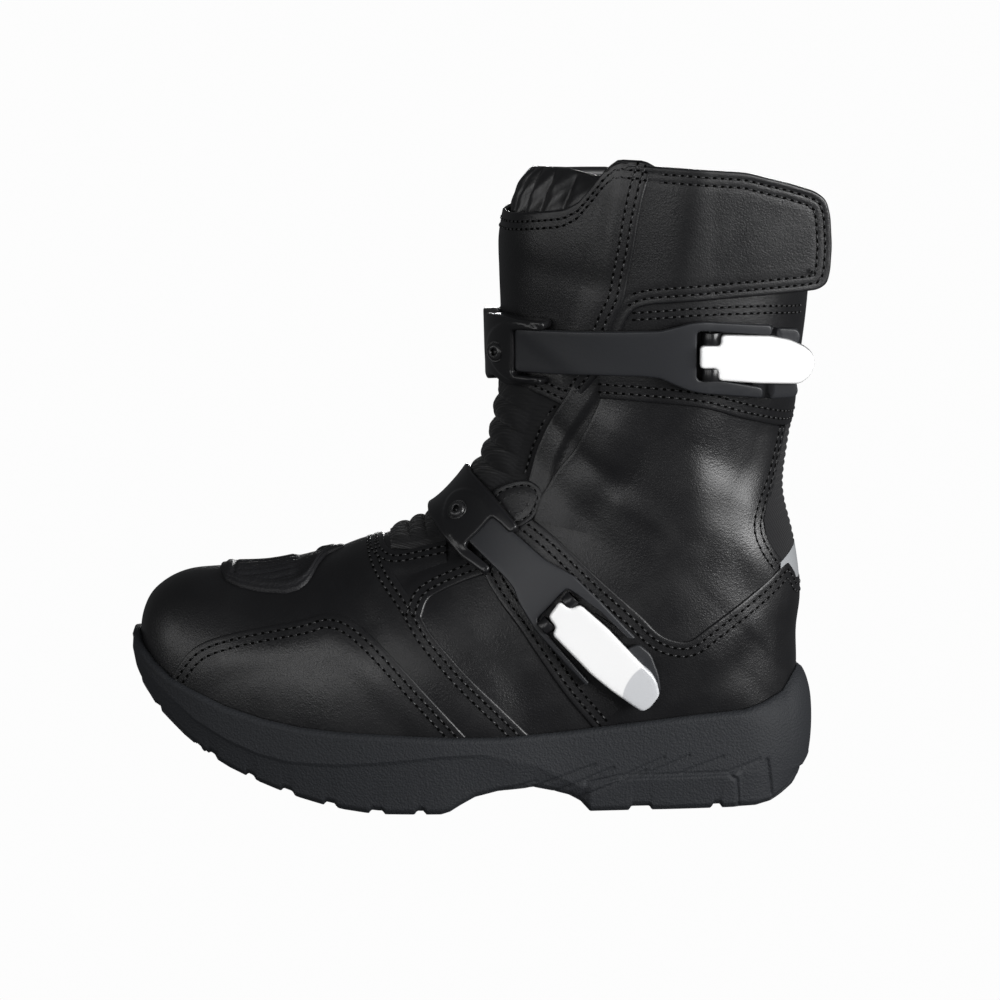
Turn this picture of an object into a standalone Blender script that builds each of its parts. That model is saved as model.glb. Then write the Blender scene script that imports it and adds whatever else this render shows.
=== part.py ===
"""Left adventure boot with two ratchet buckles. Sizes in mm, built in metres, toe to -X, heel to +X."""
import math

import bmesh
import bpy
import numpy as np
from mathutils import Matrix, Vector
from mathutils.bvhtree import BVHTree

MM = 0.001
GAP = 0.3
WALL = 2.5

# One row a section of the upper: front point, back or bottom point, middle, half widths, cut, power.
SECTION_COLUMNS = ("fx", "fz", "bx", "bz", "mf", "mb", "lat", "med", "cut", "pw")
SECTIONS = (
    (-150.5, 68.0, -150.5, 68.0, 10.0, 10.0, 0.0, 0.0, 0.60, 2.2),
    (-148.0, 82.0, -148.6, 62.0, 10.0, 10.0, 15.5, 15.5, 0.60, 2.2),
    (-141.0, 90.3, -142.2, 54.5, 9.6, 9.6, 27.0, 27.0, 0.60, 2.2),
    (-129.0, 95.8, -131.0, 47.5, 8.8, 9.0, 36.5, 36.0, 0.61, 2.2),
    (-112.0, 97.6, -115.0, 40.5, 7.5, 7.5, 43.5, 42.5, 0.61, 2.2),
    (-92.0, 98.8, -95.0, 34.8, 6.0, 5.2, 47.5, 46.5, 0.61, 2.2),
    (-70.0, 103.8, -71.0, 31.0, 5.0, 3.0, 50.5, 48.5, 0.62, 2.2),
    (-50.0, 110.0, -45.0, 29.5, 4.0, 0.5, 51.5, 49.0, 0.63, 2.15),
    (-32.0, 116.0, -18.0, 28.5, 3.5, -1.8, 50.5, 47.0, 0.66, 2.15),
    (-18.0, 123.0, 10.0, 28.0, 3.0, -2.5, 48.0, 44.0, 0.70, 2.1),
    (-7.5, 133.0, 36.0, 29.6, 2.5, -2.2, 45.5, 42.0, 0.75, 2.1),
    (0.5, 144.0, 62.0, 32.6, 2.0, -1.2, 44.5, 41.0, 0.78, 2.1),
    (5.5, 154.0, 88.0, 35.5, 2.0, -0.4, 44.0, 41.5, 0.81, 2.1),
    (8.3, 165.0, 117.0, 37.8, 2.0, 0.0, 43.5, 42.0, 0.875, 2.1),
    (9.3, 176.0, 131.5, 42.5, 2.0, 0.0, 43.5, 42.0, 0.953, 2.1),
    (9.3, 187.0, 138.6, 52.0, 2.0, 0.0, 43.5, 42.0, 1.0, 2.1),
    (9.0, 194.0, 138.9, 72.0, 2.0, 0.0, 43.5, 42.5, 1.0, 2.1),
    (8.8, 201.0, 139.6, 92.0, 2.0, 0.0, 43.8, 43.0, 1.0, 2.1),
    (8.6, 208.0, 137.0, 112.0, 2.0, 0.5, 44.3, 43.8, 1.0, 2.1),
    (8.4, 215.0, 132.2, 133.0, 2.0, 1.0, 45.3, 44.8, 1.0, 2.1),
    (8.1, 222.0, 133.8, 152.0, 2.0, 1.0, 46.6, 46.2, 1.0, 2.1),
    (7.8, 229.0, 137.3, 172.0, 2.0, 1.0, 48.4, 48.0, 1.0, 2.1),
    (7.6, 236.0, 140.4, 195.0, 2.0, 1.0, 50.3, 50.0, 1.0, 2.1),
    (7.8, 243.0, 143.0, 218.0, 2.0, 1.0, 51.8, 51.6, 1.0, 2.1),
    (9.0, 251.0, 144.6, 242.0, 2.0, 1.0, 53.0, 52.8, 1.0, 2.1),
    (11.5, 263.0, 145.4, 266.0, 2.0, 1.0, 53.8, 53.6, 1.0, 2.1),
    (15.0, 280.0, 146.0, 292.0, 2.0, 1.0, 54.2, 54.0, 1.0, 2.1),
)
HEEL_ROW = 15.0
LAST_ROW = len(SECTIONS) - 1.0

# Height of the collar edge along the shaft's outer side, and the most it has on the inner side.
COLLAR_X = (5.0, 12.0, 36.0, 42.0, 48.0, 54.0, 59.0, 72.0, 90.0, 112.0, 128.0, 140.0, 147.0)
COLLAR_Z = (253.0, 253.5, 257.5, 261.0, 268.0, 276.0, 279.5, 279.0, 277.5, 273.0, 264.0, 258.5, 257.0)
COLLAR_INNER = 257.0

# Heights along the sole: visible feather edge, side ledge, underside and how far the lower side steps out.
RIM_X = (-151, -148.7, -143, -135.5, -126.7, -111, -95, -79, -63, -41, -13, 8, 35, 70, 92, 114, 123, 131.6, 138.6)
RIM_Z = (73, 67, 60.5, 55, 51, 44.5, 40, 37, 35.5, 34.5, 33.3, 33, 34.6, 38.2, 40.5, 42, 44.5, 48, 56.5)
LEDGE_X = (-154, -140, -125, -110, -97, -83, -62, -36, -18, 0, 25, 44, 52, 60, 110, 116, 135)
LEDGE_Z = (64, 50, 38, 30, 25, 22, 21.5, 23.5, 25.5, 26, 21, 11, 13, 15, 15.3, 15.3, 15.3)
STEP_X = (-140, -118, -60, -10, 15, 44, 47, 110, 113, 140)
STEP_OUT = (0.0, -0.9, -0.9, -0.9, 0.0, 0.0, 1.2, 1.2, 0.0, 0.0)
BOTTOM_X = (-155, -150.5, -141, -130, -121, -110, -100, -90, -80, -70, -60, -50, -45, -17, -13, -8, -2, 8,
            24, 32, 39, 44, 48, 122, 127, 132, 137, 141, 146)
BOTTOM_Z = (56, 50, 39.5, 30, 23.5, 17.5, 13.2, 9.6, 6.4, 3.8, 1.8, 0.5, 0, 0, 1.2, 4.2, 7.4, 9.8,
            11.0, 9.2, 7.2, 4.4, 0, 0, 0.9, 3.0, 6.2, 10.8, 16.0)
LIP_X = (100, 114, 130, 133.5, 137.5, 138.6)
LIP_GAP = (0.3, 0.65, 0.7, 0.95, 0.95, 0.5)
WIDE_X = (-152, -120, -60, 20, 90, 122, 139)
WIDE_OUT = (3.6, 4.2, 4.6, 4.6, 4.8, 5.2, 6.6)

# Lug grooves: middle along the sole, width, depth.
GROOVE_COLUMNS = ("x", "width", "depth")
GROOVES = (
    (-118.0, 4.5, 3.0),
    (-101.0, 4.5, 3.0),
    (-85.0, 5.0, 3.0),
    (-66.0, 5.0, 3.0),
    (-45.5, 6.0, 3.0),
    (-26.3, 4.0, 3.0),
    (70.0, 9.0, 3.2),
    (103.5, 4.0, 3.2),
)


def clear_scene():
    for thing in list(bpy.data.objects):
        bpy.data.objects.remove(thing, do_unlink=True)


def section_rows():
    table = [list(row) for row in SECTIONS]
    first = table[1]
    ghost = list(first)
    ghost[1] = 2.0 * first[3] - first[1]
    ghost[6] = -first[6]
    ghost[7] = -first[7]
    end = [2.0 * a - b for a, b in zip(table[-1], table[-2])]
    return np.array([ghost] + table + [end])


ROWS = section_rows()


def section_at(u):
    u = np.clip(np.asarray(u, float), 0.0, LAST_ROW)
    k = np.minimum(np.floor(u).astype(int), int(LAST_ROW) - 1)
    f = (u - k)[..., None]
    p0, p1, p2, p3 = ROWS[k], ROWS[k + 1], ROWS[k + 2], ROWS[k + 3]
    a = 2.0 * p1
    b = p2 - p0
    c = 2.0 * p0 - 5.0 * p1 + 4.0 * p2 - p3
    d = -p0 + 3.0 * p1 - 3.0 * p2 + p3
    return 0.5 * (a + b * f + c * f ** 2 + d * f ** 3)


def surface(u, t):
    """Points of the upper's outside: u counts sections, t runs from -1 lateral over the front to 1 medial."""
    u, t = np.broadcast_arrays(np.asarray(u, float), np.asarray(t, float))
    row = section_at(u)
    fx, fz, bx, bz, mf, mb, lat, med, cut, pw = np.moveaxis(row, -1, 0)
    cut = np.where(u >= HEEL_ROW, 1.0, np.clip(cut, 0.5, 1.0))
    full = np.arccos(np.clip(-(2.0 * cut - 1.0) ** (pw / 2.0), -1.0, 1.0))
    angle = np.abs(t) * full
    cosine = np.cos(angle)
    along = 0.5 * (1.0 - np.sign(cosine) * np.abs(cosine) ** (2.0 / pw)) / cut
    across = np.abs(np.sin(angle)) ** (2.0 / pw)
    half = np.where(t < 0.0, -lat, med)
    x = fx + (bx - fx) * along
    z = fz + (bz - fz) * along
    y = mf + (mb - mf) * along + half * across
    return np.stack([x, y, z], axis=-1)


def normals(u, t):
    step_u, step_t = 0.02, 0.004
    u, t = np.broadcast_arrays(np.asarray(u, float), np.asarray(t, float))
    u = np.maximum(u, 0.03)
    t = np.clip(t, -0.995, 0.995)
    du = surface(u + step_u, t) - surface(u - step_u, t)
    dt = surface(u, t + step_t) - surface(u, t - step_t)
    n = np.cross(du, dt)
    return n / np.maximum(np.linalg.norm(n, axis=-1, keepdims=True), 1e-9)


def skin(u, t, off):
    return surface(u, t) + normals(u, t) * np.asarray(off, float)[..., None]


def collar_u(t):
    """The section number where column t meets the collar edge."""
    tries = np.linspace(19.0, LAST_ROW, 90)
    points = surface(tries, np.full_like(tries, t))
    edge = np.interp(points[:, 0], COLLAR_X, COLLAR_Z)
    if t > 0.0:
        edge = np.minimum(edge, COLLAR_INNER)
    above = points[:, 2] - edge
    k = int(np.argmax(above > 0.0))
    share = -above[k - 1] / (above[k] - above[k - 1])
    return tries[k - 1] + share * (tries[k] - tries[k - 1])


def add_object(name, verts, faces, material):
    mesh = bpy.data.meshes.new(name)
    moved = [(x * MM, y * MM, z * MM) for x, y, z in verts]
    mesh.from_pydata(moved, [], faces)
    work = bmesh.new()
    work.from_mesh(mesh)
    bmesh.ops.remove_doubles(work, verts=work.verts, dist=0.00002)
    bmesh.ops.triangulate(work, faces=work.faces)
    bmesh.ops.recalc_face_normals(work, faces=work.faces)
    work.to_mesh(mesh)
    work.free()
    thing = bpy.data.objects.new(name, mesh)
    bpy.context.scene.collection.objects.link(thing)
    if material is not None:
        mesh.materials.append(material)
    return thing


def make_material(name, colour, rough, metal=0.0):
    material = bpy.data.materials.new(name)
    material.use_nodes = True
    node = material.node_tree.nodes["Principled BSDF"]
    node.inputs["Base Color"].default_value = (*colour, 1.0)
    node.inputs["Roughness"].default_value = rough
    node.inputs["Metallic"].default_value = metal
    return material


LEATHER = make_material("leather", (0.02, 0.02, 0.022), 0.5)
RUBBER = make_material("rubber", (0.03, 0.032, 0.036), 0.8)
FABRIC = make_material("fabric", (0.025, 0.025, 0.028), 0.9)
PLASTIC = make_material("plastic", (0.04, 0.04, 0.045), 0.45)
METAL = make_material("metal", (0.85, 0.85, 0.86), 0.2, 1.0)

SOLE_STATIONS = (-149.6, -147.5, -144, -139, -132, -124, -115, -106, -97, -88, -79, -70, -61, -53, -45, -35,
                 -24, -12, 0, 12, 24, 36, 43.5, 47.5, 58, 70, 82, 94, 104, 109.8, 113.2, 120, 126, 130.5,
                 134, 137)


def row_for_bottom_x(x):
    us = np.linspace(0.0, HEEL_ROW, 3000)
    return float(np.interp(x, section_at(us)[:, 2], us))


SOLE_ROWS = np.array([row_for_bottom_x(x) for x in SOLE_STATIONS])
UPPER_ROWS = np.concatenate([
    np.array([0.0]),
    SOLE_ROWS,
    np.array([HEEL_ROW, 15.5, 16.1, 16.8, 17.5, 18.2, 18.9, 19.6, 20.2]),
])
RIM_STEPS = 9
UPPER_HALF = 9


def column_params():
    half = np.linspace(0.0, 1.0, UPPER_HALF)
    return np.concatenate([-half[::-1], half[1:]])


def upper_grid(off):
    """Rows and columns of the upper at one offset, the last rows running up to the collar edge."""
    columns = column_params()
    rows_u = [np.full_like(columns, u) for u in UPPER_ROWS]
    ends = np.array([collar_u(t) for t in columns])
    for step in range(1, RIM_STEPS + 1):
        share = step / RIM_STEPS
        rows_u.append(UPPER_ROWS[-1] + (ends - UPPER_ROWS[-1]) * share)
    u = np.array(rows_u)
    t = np.tile(columns, (len(rows_u), 1))
    grid = skin(u, t, np.full_like(u, off))
    grid[0] = surface(0.0, 0.0) + np.array([-off, 0.0, 0.0])
    closed = UPPER_ROWS.searchsorted(HEEL_ROW)
    seam = 0.5 * (grid[closed:, 0] + grid[closed:, -1])
    grid[closed:, 0] = seam
    grid[closed:, -1] = seam
    return grid


def shell_faces(rows, cols, base):
    faces = []
    for r in range(rows - 1):
        for c in range(cols - 1):
            a = base + r * cols + c
            faces.append((a, a + 1, a + cols + 1, a + cols))
    return faces


def closed_shell(name, outer, inner, material):
    """One solid between two grids of the same rows and columns, walled along every open edge."""
    rows, cols = outer.shape[:2]
    count = rows * cols
    verts = [tuple(p) for p in outer.reshape(-1, 3)] + [tuple(p) for p in inner.reshape(-1, 3)]
    faces = shell_faces(rows, cols, 0)
    faces += [tuple(reversed(f)) for f in shell_faces(rows, cols, count)]
    for r in range(rows - 1):
        for c in (0, cols - 1):
            a = r * cols + c
            b = a + cols
            if np.allclose(outer[r, 0], outer[r, -1]) and np.allclose(outer[r + 1, 0], outer[r + 1, -1]):
                continue
            faces.append((a, b, b + count, a + count))
    for c in range(cols - 1):
        for r in (0, rows - 1):
            a = r * cols + c
            if np.allclose(outer[r, c], outer[r, c + 1]):
                continue
            faces.append((a, a + 1, a + 1 + count, a + count))
    return add_object(name, verts, faces, material)


def build_upper():
    return closed_shell("upper", upper_grid(0.0), upper_grid(-WALL), LEATHER)


def edge_points(u, out):
    """Both bottom edges of the upper at one section, moved out level from its wall."""
    sides = []
    for side in (-1.0, 1.0):
        flat = normals(u, side) * np.array([1.0, 1.0, 0.0])
        flat = flat / np.linalg.norm(flat)
        sides.append((surface(u, side) + flat * out, flat))
    return sides


def solid_tree(thing):
    """A ray target in mm of one built object."""
    verts = [v.co / MM for v in thing.data.vertices]
    return BVHTree.FromPolygons(verts, [tuple(p.vertices) for p in thing.data.polygons])


def wall_at(tree, point, flat, z):
    """Where a level ray from outside meets the wall at height z."""
    start = Vector((point[0] + flat[0] * 30.0, point[1] + flat[1] * 30.0, z))
    hit = tree.ray_cast(start, Vector((-flat[0], -flat[1], 0.0)))[0]
    return np.array([hit.x, hit.y, hit.z])


def ring_height(kind, x):
    rim = np.interp(x, RIM_X, RIM_Z)
    low = np.interp(x, BOTTOM_X, BOTTOM_Z)
    ledge = np.clip(np.interp(x, LEDGE_X, LEDGE_Z), low + 3.5, rim - 5.0)
    heights = {
        "rim": rim,
        "shoulder": rim - 1.8,
        "ledge_top": ledge + 0.5,
        "ledge_low": ledge - 0.5,
        "foot": low + 2.2,
        "bottom": low,
    }
    return heights[kind]


# Rings down the sole's side: height name, base step outward, share of the widest bulge, takes the step.
RING_COLUMNS = ("kind", "out", "bulge", "step")
RINGS = (
    ("rim", 3.0, 0.0, 0.0),
    ("shoulder", 0.0, 0.93, 0.0),
    ("ledge_top", 0.0, 1.0, 0.0),
    ("ledge_low", 0.0, 1.0, 1.0),
    ("foot", -0.8, 0.86, 1.0),
    ("bottom", -2.4, 0.8, 1.0),
)


def side_ring(tree, edge, flat):
    """Cup floor, cup wall and side points of the sole at one place round the upper."""
    floor = edge + flat * GAP + np.array([0.0, 0.0, -GAP])
    lip_z = max(float(np.interp(edge[0], RIM_X, RIM_Z)), edge[2] + 2.0)
    lip = wall_at(tree, edge, flat, lip_z) + flat * np.interp(edge[0], LIP_X, LIP_GAP)
    wide = np.interp(edge[0], WIDE_X, WIDE_OUT)
    ring = [floor, lip]
    for kind, out, bulge, step in RINGS:
        push = out + bulge * wide + step * np.interp(edge[0], STEP_X, STEP_OUT)
        point = edge + flat * (GAP + push)
        point[2] = lip_z if kind == "rim" else ring_height(kind, point[0])
        ring.append(point)
    return ring


def build_outsole(tree):
    toe_edge = surface(0.0, 0.0)
    heel_edge = surface(HEEL_ROW, 1.0)
    sides = [edge_points(u, 0.0) for u in SOLE_ROWS]
    stations = [(toe_edge, np.array([-1.0, 0.0, 0.0]))]
    stations += [pair[0] for pair in sides]
    stations += [(heel_edge, np.array([1.0, 0.0, 0.0]))]
    stations += [pair[1] for pair in reversed(sides)]
    loop = [side_ring(tree, edge, flat) for edge, flat in stations]
    count = len(loop)
    depth = len(loop[0])
    half = len(sides)
    verts = [tuple(p) for ring in loop for p in ring]
    faces = []
    for i in range(count):
        j = (i + 1) % count
        for k in range(depth - 1):
            faces.append((i * depth + k, j * depth + k, j * depth + k + 1, i * depth + k + 1))
    for level in (0, depth - 1):
        for i in range(half + 1):
            a, b = i, i + 1
            c, d = (count - b) % count, (count - a) % count
            corners = []
            for n in (a, b, c, d):
                index = n * depth + level
                if index not in corners:
                    corners.append(index)
            faces.append(tuple(corners))
    sole = add_object("outsole", verts, faces, RUBBER)
    for x, width, deep in GROOVES:
        cut_groove(sole, x, width, deep)
    return sole


def box_cutter(name, corners_xz, y0, y1):
    count = len(corners_xz)
    verts = [(x, y0, z) for x, z in corners_xz] + [(x, y1, z) for x, z in corners_xz]
    faces = [tuple(range(count)), tuple(range(2 * count - 1, count - 1, -1))]
    for i in range(count):
        j = (i + 1) % count
        faces.append((i, j, j + count, i + count))
    thing = add_object(name, verts, faces, None)
    thing.hide_render = True
    thing.display_type = "WIRE"
    return thing


def boolean(thing, cutter, operation):
    modifier = thing.modifiers.new(operation, "BOOLEAN")
    modifier.operation = operation
    modifier.solver = "EXACT"
    modifier.object = cutter
    graph = bpy.context.evaluated_depsgraph_get()
    mesh = bpy.data.meshes.new_from_object(thing.evaluated_get(graph))
    thing.modifiers.remove(modifier)
    old = thing.data
    thing.data = mesh
    mesh.name = thing.name
    bpy.data.meshes.remove(old)
    bpy.data.objects.remove(cutter, do_unlink=True)


def cut_groove(sole, x, width, deep):
    low = np.interp(x, BOTTOM_X, BOTTOM_Z)
    slope = (np.interp(x + 2.0, BOTTOM_X, BOTTOM_Z) - np.interp(x - 2.0, BOTTOM_X, BOTTOM_Z)) / 4.0
    along = np.array([1.0, slope]) / math.hypot(1.0, slope)
    up = np.array([-along[1], along[0]])
    middle = np.array([x, low])
    corners = [middle - along * width / 2 - up * 6, middle + along * width / 2 - up * 6,
               middle + along * (width / 2 - 0.8) + up * deep, middle - along * (width / 2 - 0.8) + up * deep]
    cutter = box_cutter("groove", [tuple(c) for c in corners], -90.0, 90.0)
    boolean(sole, cutter, "DIFFERENCE")


INSOLE_THICK = 4.0


def build_insole():
    inset = -(WALL + GAP + 0.5)
    loops = []
    for u in SOLE_ROWS[3:-2]:
        loops.append([pair[0] for pair in edge_points(u, inset)])
    bottom = [row[0] for row in loops] + [row[1] for row in reversed(loops)]
    count = len(bottom)
    verts = [tuple(p) for p in bottom] + [tuple(p + np.array([0.0, 0.0, INSOLE_THICK])) for p in bottom]
    half = len(loops)
    faces = []
    for base in (0, count):
        for i in range(half - 1):
            faces.append((base + i, base + i + 1, base + count - 2 - i, base + count - 1 - i))
    for i in range(count):
        j = (i + 1) % count
        faces.append((i, j, j + count, i + count))
    return add_object("insole", verts, faces, FABRIC)


# Outlines in the side view, x and z. Panels end just above the sole's edge.
TOE_WING = ((-135.6, 51.6), (-133.3, 58.1), (-124.4, 68.8), (-109.0, 75.0), (-78.5, 81.2), (-67.6, 84.2),
            (-56.7, 82.4), (-43.5, 72.7), (-21.9, 50.4), (-6.8, 36.0))
ANCHOR = ((19.8, 34.4), (-8.9, 65.8), (-17.6, 74.2), (-22.8, 84.3), (-27.6, 90.2), (-27.2, 93.3), (-24.2, 96.1),
          (-17.7, 99.3), (-2.5, 105.7), (4.0, 100.8), (14.9, 85.7), (30.0, 65.3), (47.3, 39.6))
COUNTER = ((48.6, 40.4), (31.2, 66.2), (16.1, 86.6), (5.2, 101.6), (10.0, 113.0), (17.5, 120.5), (24.0, 124.0),
           (34.4, 116.0), (51.7, 100.2), (69.0, 85.2), (75.5, 78.6), (82.0, 74.6), (90.7, 73.6),
           (99.4, 79.4), (121.5, 95.0), (133.9, 104.9), (150.0, 116.0), (150.0, 57.5))
SHIN = ((-6.0, 300.0), (73.0, 300.0), (71.8, 274.5), (67.1, 254.1), (63.2, 232.3), (61.1, 221.3),
        (57.2, 212.4), (50.0, 195.0), (47.4, 186.6), (36.6, 174.0), (17.1, 180.5), (-6.0, 181.5))
TAB = ((7.0, 131.0), (10.5, 137.4), (17.9, 139.8), (23.6, 138.5), (26.6, 134.5), (26.2, 130.4),
       (24.8, 125.5), (16.0, 124.5))
BRACKET_HIGH = ((-6.0, 181.0), (16.2, 181.2), (29.7, 183.6), (29.7, 186.4), (19.3, 186.4), (19.3, 206.4),
                (30.9, 207.6), (30.9, 211.4), (21.4, 211.0), (-6.0, 210.0))
BRACKET_LOW = ((-3.5, 142.5), (4.0, 135.6), (17.5, 120.9), (14.2, 117.6), (7.1, 123.9), (-5.6, 111.1),
               (5.2, 103.6), (2.7, 100.7), (-6.9, 106.4), (-14.8, 113.5), (-22.0, 118.5), (-30.0, 131.0),
               (-14.0, 152.0))
FORK_LOW = ((-2.4, 110.8), (11.0, 100.4), (16.6, 88.6), (23.5, 77.3), (38.6, 60.9), (45.6, 54.4), (48.6, 55.3),
            (39.8, 62.9), (29.2, 74.4), (24.4, 81.6), (37.2, 95.2), (43.6, 89.0), (62.0, 73.2), (66.8, 74.4),
            (51.7, 89.9), (40.8, 100.1), (27.9, 106.7), (17.0, 114.6), (8.0, 121.0))
LEVER_LOW = ((43.0, 88.3), (60.3, 73.6), (71.1, 62.6), (75.5, 53.7), (77.3, 50.1), (75.5, 47.2), (69.5, 43.4),
             (64.7, 44.1), (51.6, 53.7), (40.8, 63.0), (30.4, 74.7), (33.2, 77.9), (27.9, 83.1),
             (34.9, 90.3), (40.2, 85.1))
BASE_LOW = ((57.0, 57.0), (64.0, 72.0), (69.5, 71.0), (77.0, 61.0), (79.0, 53.0), (74.0, 46.5))
BASE_HIGH = ((115.0, 176.0), (115.0, 210.0), (150.0, 206.0), (150.0, 178.0))
FORK_HIGH_X = (20.4, 52.0, 69.0, 77.5, 84.0, 90.5, 97.0, 112.0, 126.0)
FORK_HIGH_TOP = (205.9, 206.8, 207.4, 207.9, 209.6, 211.3, 212.0, 210.6, 209.2)
FORK_HIGH_LOW = (187.0, 187.6, 187.6, 186.8, 183.6, 181.0, 179.5, 178.0, 176.4)
FORK_SLOT = ((93.5, 186.0), (104.2, 185.2), (131.0, 182.6), (131.0, 204.6), (104.2, 206.0), (93.5, 207.4))
LEVER_HIGH = ((104.0, 205.0), (125.0, 203.6), (134.0, 201.0), (142.5, 196.5), (145.5, 192.5), (144.5, 187.2),
              (139.5, 183.8), (122.0, 183.8), (104.0, 186.2), (104.0, 190.6), (95.4, 190.6), (95.4, 200.6),
              (104.0, 200.6))

# Panels cut from shells of the upper: outline, y span, inner and outer offset, material.
PANEL_COLUMNS = ("name", "outline", "y0", "y1", "low", "high", "stuff")
LATERAL = (-90.0, 4.0)
MEDIAL = (8.0, 90.0)
BOTH = (-90.0, 90.0)
PANELS = (
    ("toe_wing_lateral", TOE_WING, *LATERAL, 0.3, 1.5, LEATHER),
    ("toe_wing_medial", TOE_WING, *MEDIAL, 0.3, 1.5, LEATHER),
    ("anchor_panel_lateral", ANCHOR, *LATERAL, 0.3, 1.5, LEATHER),
    ("anchor_panel_medial", ANCHOR, *MEDIAL, 0.3, 1.5, LEATHER),
    ("heel_counter", COUNTER, *BOTH, 0.3, 1.5, LEATHER),
    ("shin_flap", SHIN, *BOTH, 0.3, 1.5, LEATHER),
    ("strap_tab", TAB, *LATERAL, 0.3, 1.5, LEATHER),
    ("bracket_high", BRACKET_HIGH, -90.0, 16.0, 1.8, 6.3, PLASTIC),
    ("bracket_low", BRACKET_LOW, -90.0, 20.0, 2.4, 6.2, PLASTIC),
    ("fork_low", FORK_LOW, *LATERAL, 1.9, 5.2, PLASTIC),
    ("base_low", BASE_LOW, *LATERAL, 1.8, 3.2, PLASTIC),
    ("lever_low", LEVER_LOW, *LATERAL, 3.5, 9.5, METAL),
    ("base_high", BASE_HIGH, *LATERAL, 0.3, 3.0, PLASTIC),
)
RIM_CLEAR = 0.7


def rim_height(x):
    return float(np.interp(x, RIM_X, RIM_Z)) + RIM_CLEAR


def close_bottom(outline):
    """Keep an outline above the sole's edge and run its closing side along that edge."""
    first, last = outline[0], outline[-1]
    xs = np.linspace(last[0], first[0], max(int(abs(last[0] - first[0]) / 5.0), 2) + 1)
    body = [(x, max(z, rim_height(x) + 0.4)) for x, z in outline]
    return body + [(x, rim_height(x)) for x in xs]


GROUNDED = ("toe_wing_lateral", "toe_wing_medial", "anchor_panel_lateral", "anchor_panel_medial", "heel_counter")


def build_panel(name, outline, y0, y1, low, high, stuff):
    corners = list(outline)
    if name in GROUNDED:
        corners = close_bottom(corners)
    shell = closed_shell(name, upper_grid(high), upper_grid(low), stuff)
    cutter = box_cutter("outline", corners, y0, y1)
    boolean(shell, cutter, "INTERSECT")
    return shell


def row_for_height(t, z):
    """The section number where column t reaches height z on the shaft."""
    us = np.linspace(12.0, LAST_ROW, 400)
    heights = surface(us, np.full_like(us, t))[:, 2]
    return float(np.interp(z, heights, us))


# The gusset's padded profile: height and how far inside the upper's outside.
GUSSET_COLUMNS = ("z", "inside")
GUSSET = ((238.0, 3.0), (251.0, 3.0), (259.0, 3.8), (266.0, 5.6), (271.0, 8.6), (273.5, 12.0),
          (271.0, 15.8), (262.0, 13.5), (250.0, 10.0), (238.0, 8.0))
# Columns of the gusset from the outer side over the front to the inner side, and how far each lifts its top.
GUSSET_T = np.arange(-5, 6) / 8.0
GUSSET_LIFT = (-8.0, -4.0, -0.5, 2.5, 2.0, 0.5, -1.5, -3.2, -4.0, -9.0, -13.0)


def build_gusset():
    rings = []
    foot = GUSSET[0][0]
    tall = max(row[0] for row in GUSSET) - foot
    for t, lift in zip(GUSSET_T, GUSSET_LIFT):
        ring = []
        for z, inside in GUSSET:
            u = row_for_height(t, z + lift * (z - foot) / tall)
            ring.append(skin(u, t, -inside))
        rings.append(ring)
    depth = len(GUSSET)
    verts = [tuple(p) for ring in rings for p in ring]
    faces = [tuple(range(depth)), tuple(range((len(rings) - 1) * depth, len(rings) * depth))]
    for i in range(len(rings) - 1):
        for k in range(depth):
            j = (k + 1) % depth
            a = i * depth
            faces.append((a + k, a + j, a + depth + j, a + depth + k))
    return add_object("collar_gusset", verts, faces, FABRIC)


# The bellows: section number and height over the upper, ribs and valleys in turn.
FLEX_COLUMNS = ("u", "high")
FLEX = ((7.60, 1.1), (7.85, 2.6), (8.08, 1.2), (8.28, 2.6), (8.5, 1.0), (9.25, 1.0), (9.85, 1.0), (10.45, 1.0),
        (11.1, 1.0), (11.5, 3.3), (11.9, 1.3), (12.3, 3.4), (12.75, 1.3), (13.2, 3.4), (13.6, 1.3), (14.0, 3.2),
        (14.3, 1.1))
FLEX_EDGE_U = (7.6, 8.0, 9.0, 10.4, 11.5, 12.2, 13.3, 14.3)
FLEX_EDGE_T = (0.200, 0.245, 0.270, 0.235, 0.230, 0.262, 0.272, 0.262)
FLEX_ACROSS = 7
FLEX_LOW = 0.5
FLEX_SIDE = 1.1


def build_flex():
    share = np.linspace(-1.0, 1.0, FLEX_ACROSS)[None, :]
    u = np.array([row[0] for row in FLEX])[:, None] + 0.0 * share
    t = np.interp(u, FLEX_EDGE_U, FLEX_EDGE_T) * share
    high = np.array([row[1] for row in FLEX])[:, None] + 0.0 * share
    high = np.where(np.abs(share) > 0.9, FLEX_SIDE, high)
    return closed_shell("flex_panel", skin(u, t, high), skin(u, t, 0.0 * u + FLEX_LOW), FABRIC)


# The toe pad: half width along the toe, round a middle line.
PAD_X = (-117.5, -115.0, -108.0, -100.0, -88.0, -83.0, -79.0, -75.6, -72.8, -68.6, -61.0)
PAD_HALF = (8.0, 17.0, 22.5, 26.0, 30.5, 30.5, 28.5, 24.0, 15.5, 7.0, 1.5)
PAD_MID = 6.5
PAD_LOW = 0.6
PAD_HIGH = 2.3


def build_pad(tree):
    low, high = [], []
    for x, half in zip(PAD_X, PAD_HALF):
        line_low, line_high = [], []
        for v in np.linspace(-1.0, 1.0, 7):
            start = Vector((x, PAD_MID + v * half, 200.0))
            place, normal = tree.ray_cast(start, Vector((0.0, 0.0, -1.0)))[:2]
            point = np.array([place.x, place.y, place.z])
            line_low.append(point + np.array(normal) * PAD_LOW)
            line_high.append(point + np.array(normal) * PAD_HIGH)
        low.append(line_low)
        high.append(line_high)
    return closed_shell("shift_pad", np.array(high), np.array(low), RUBBER)


STRAIGHT_FROM = 100.0
STRAIGHT_BEND = 0.0012


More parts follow.
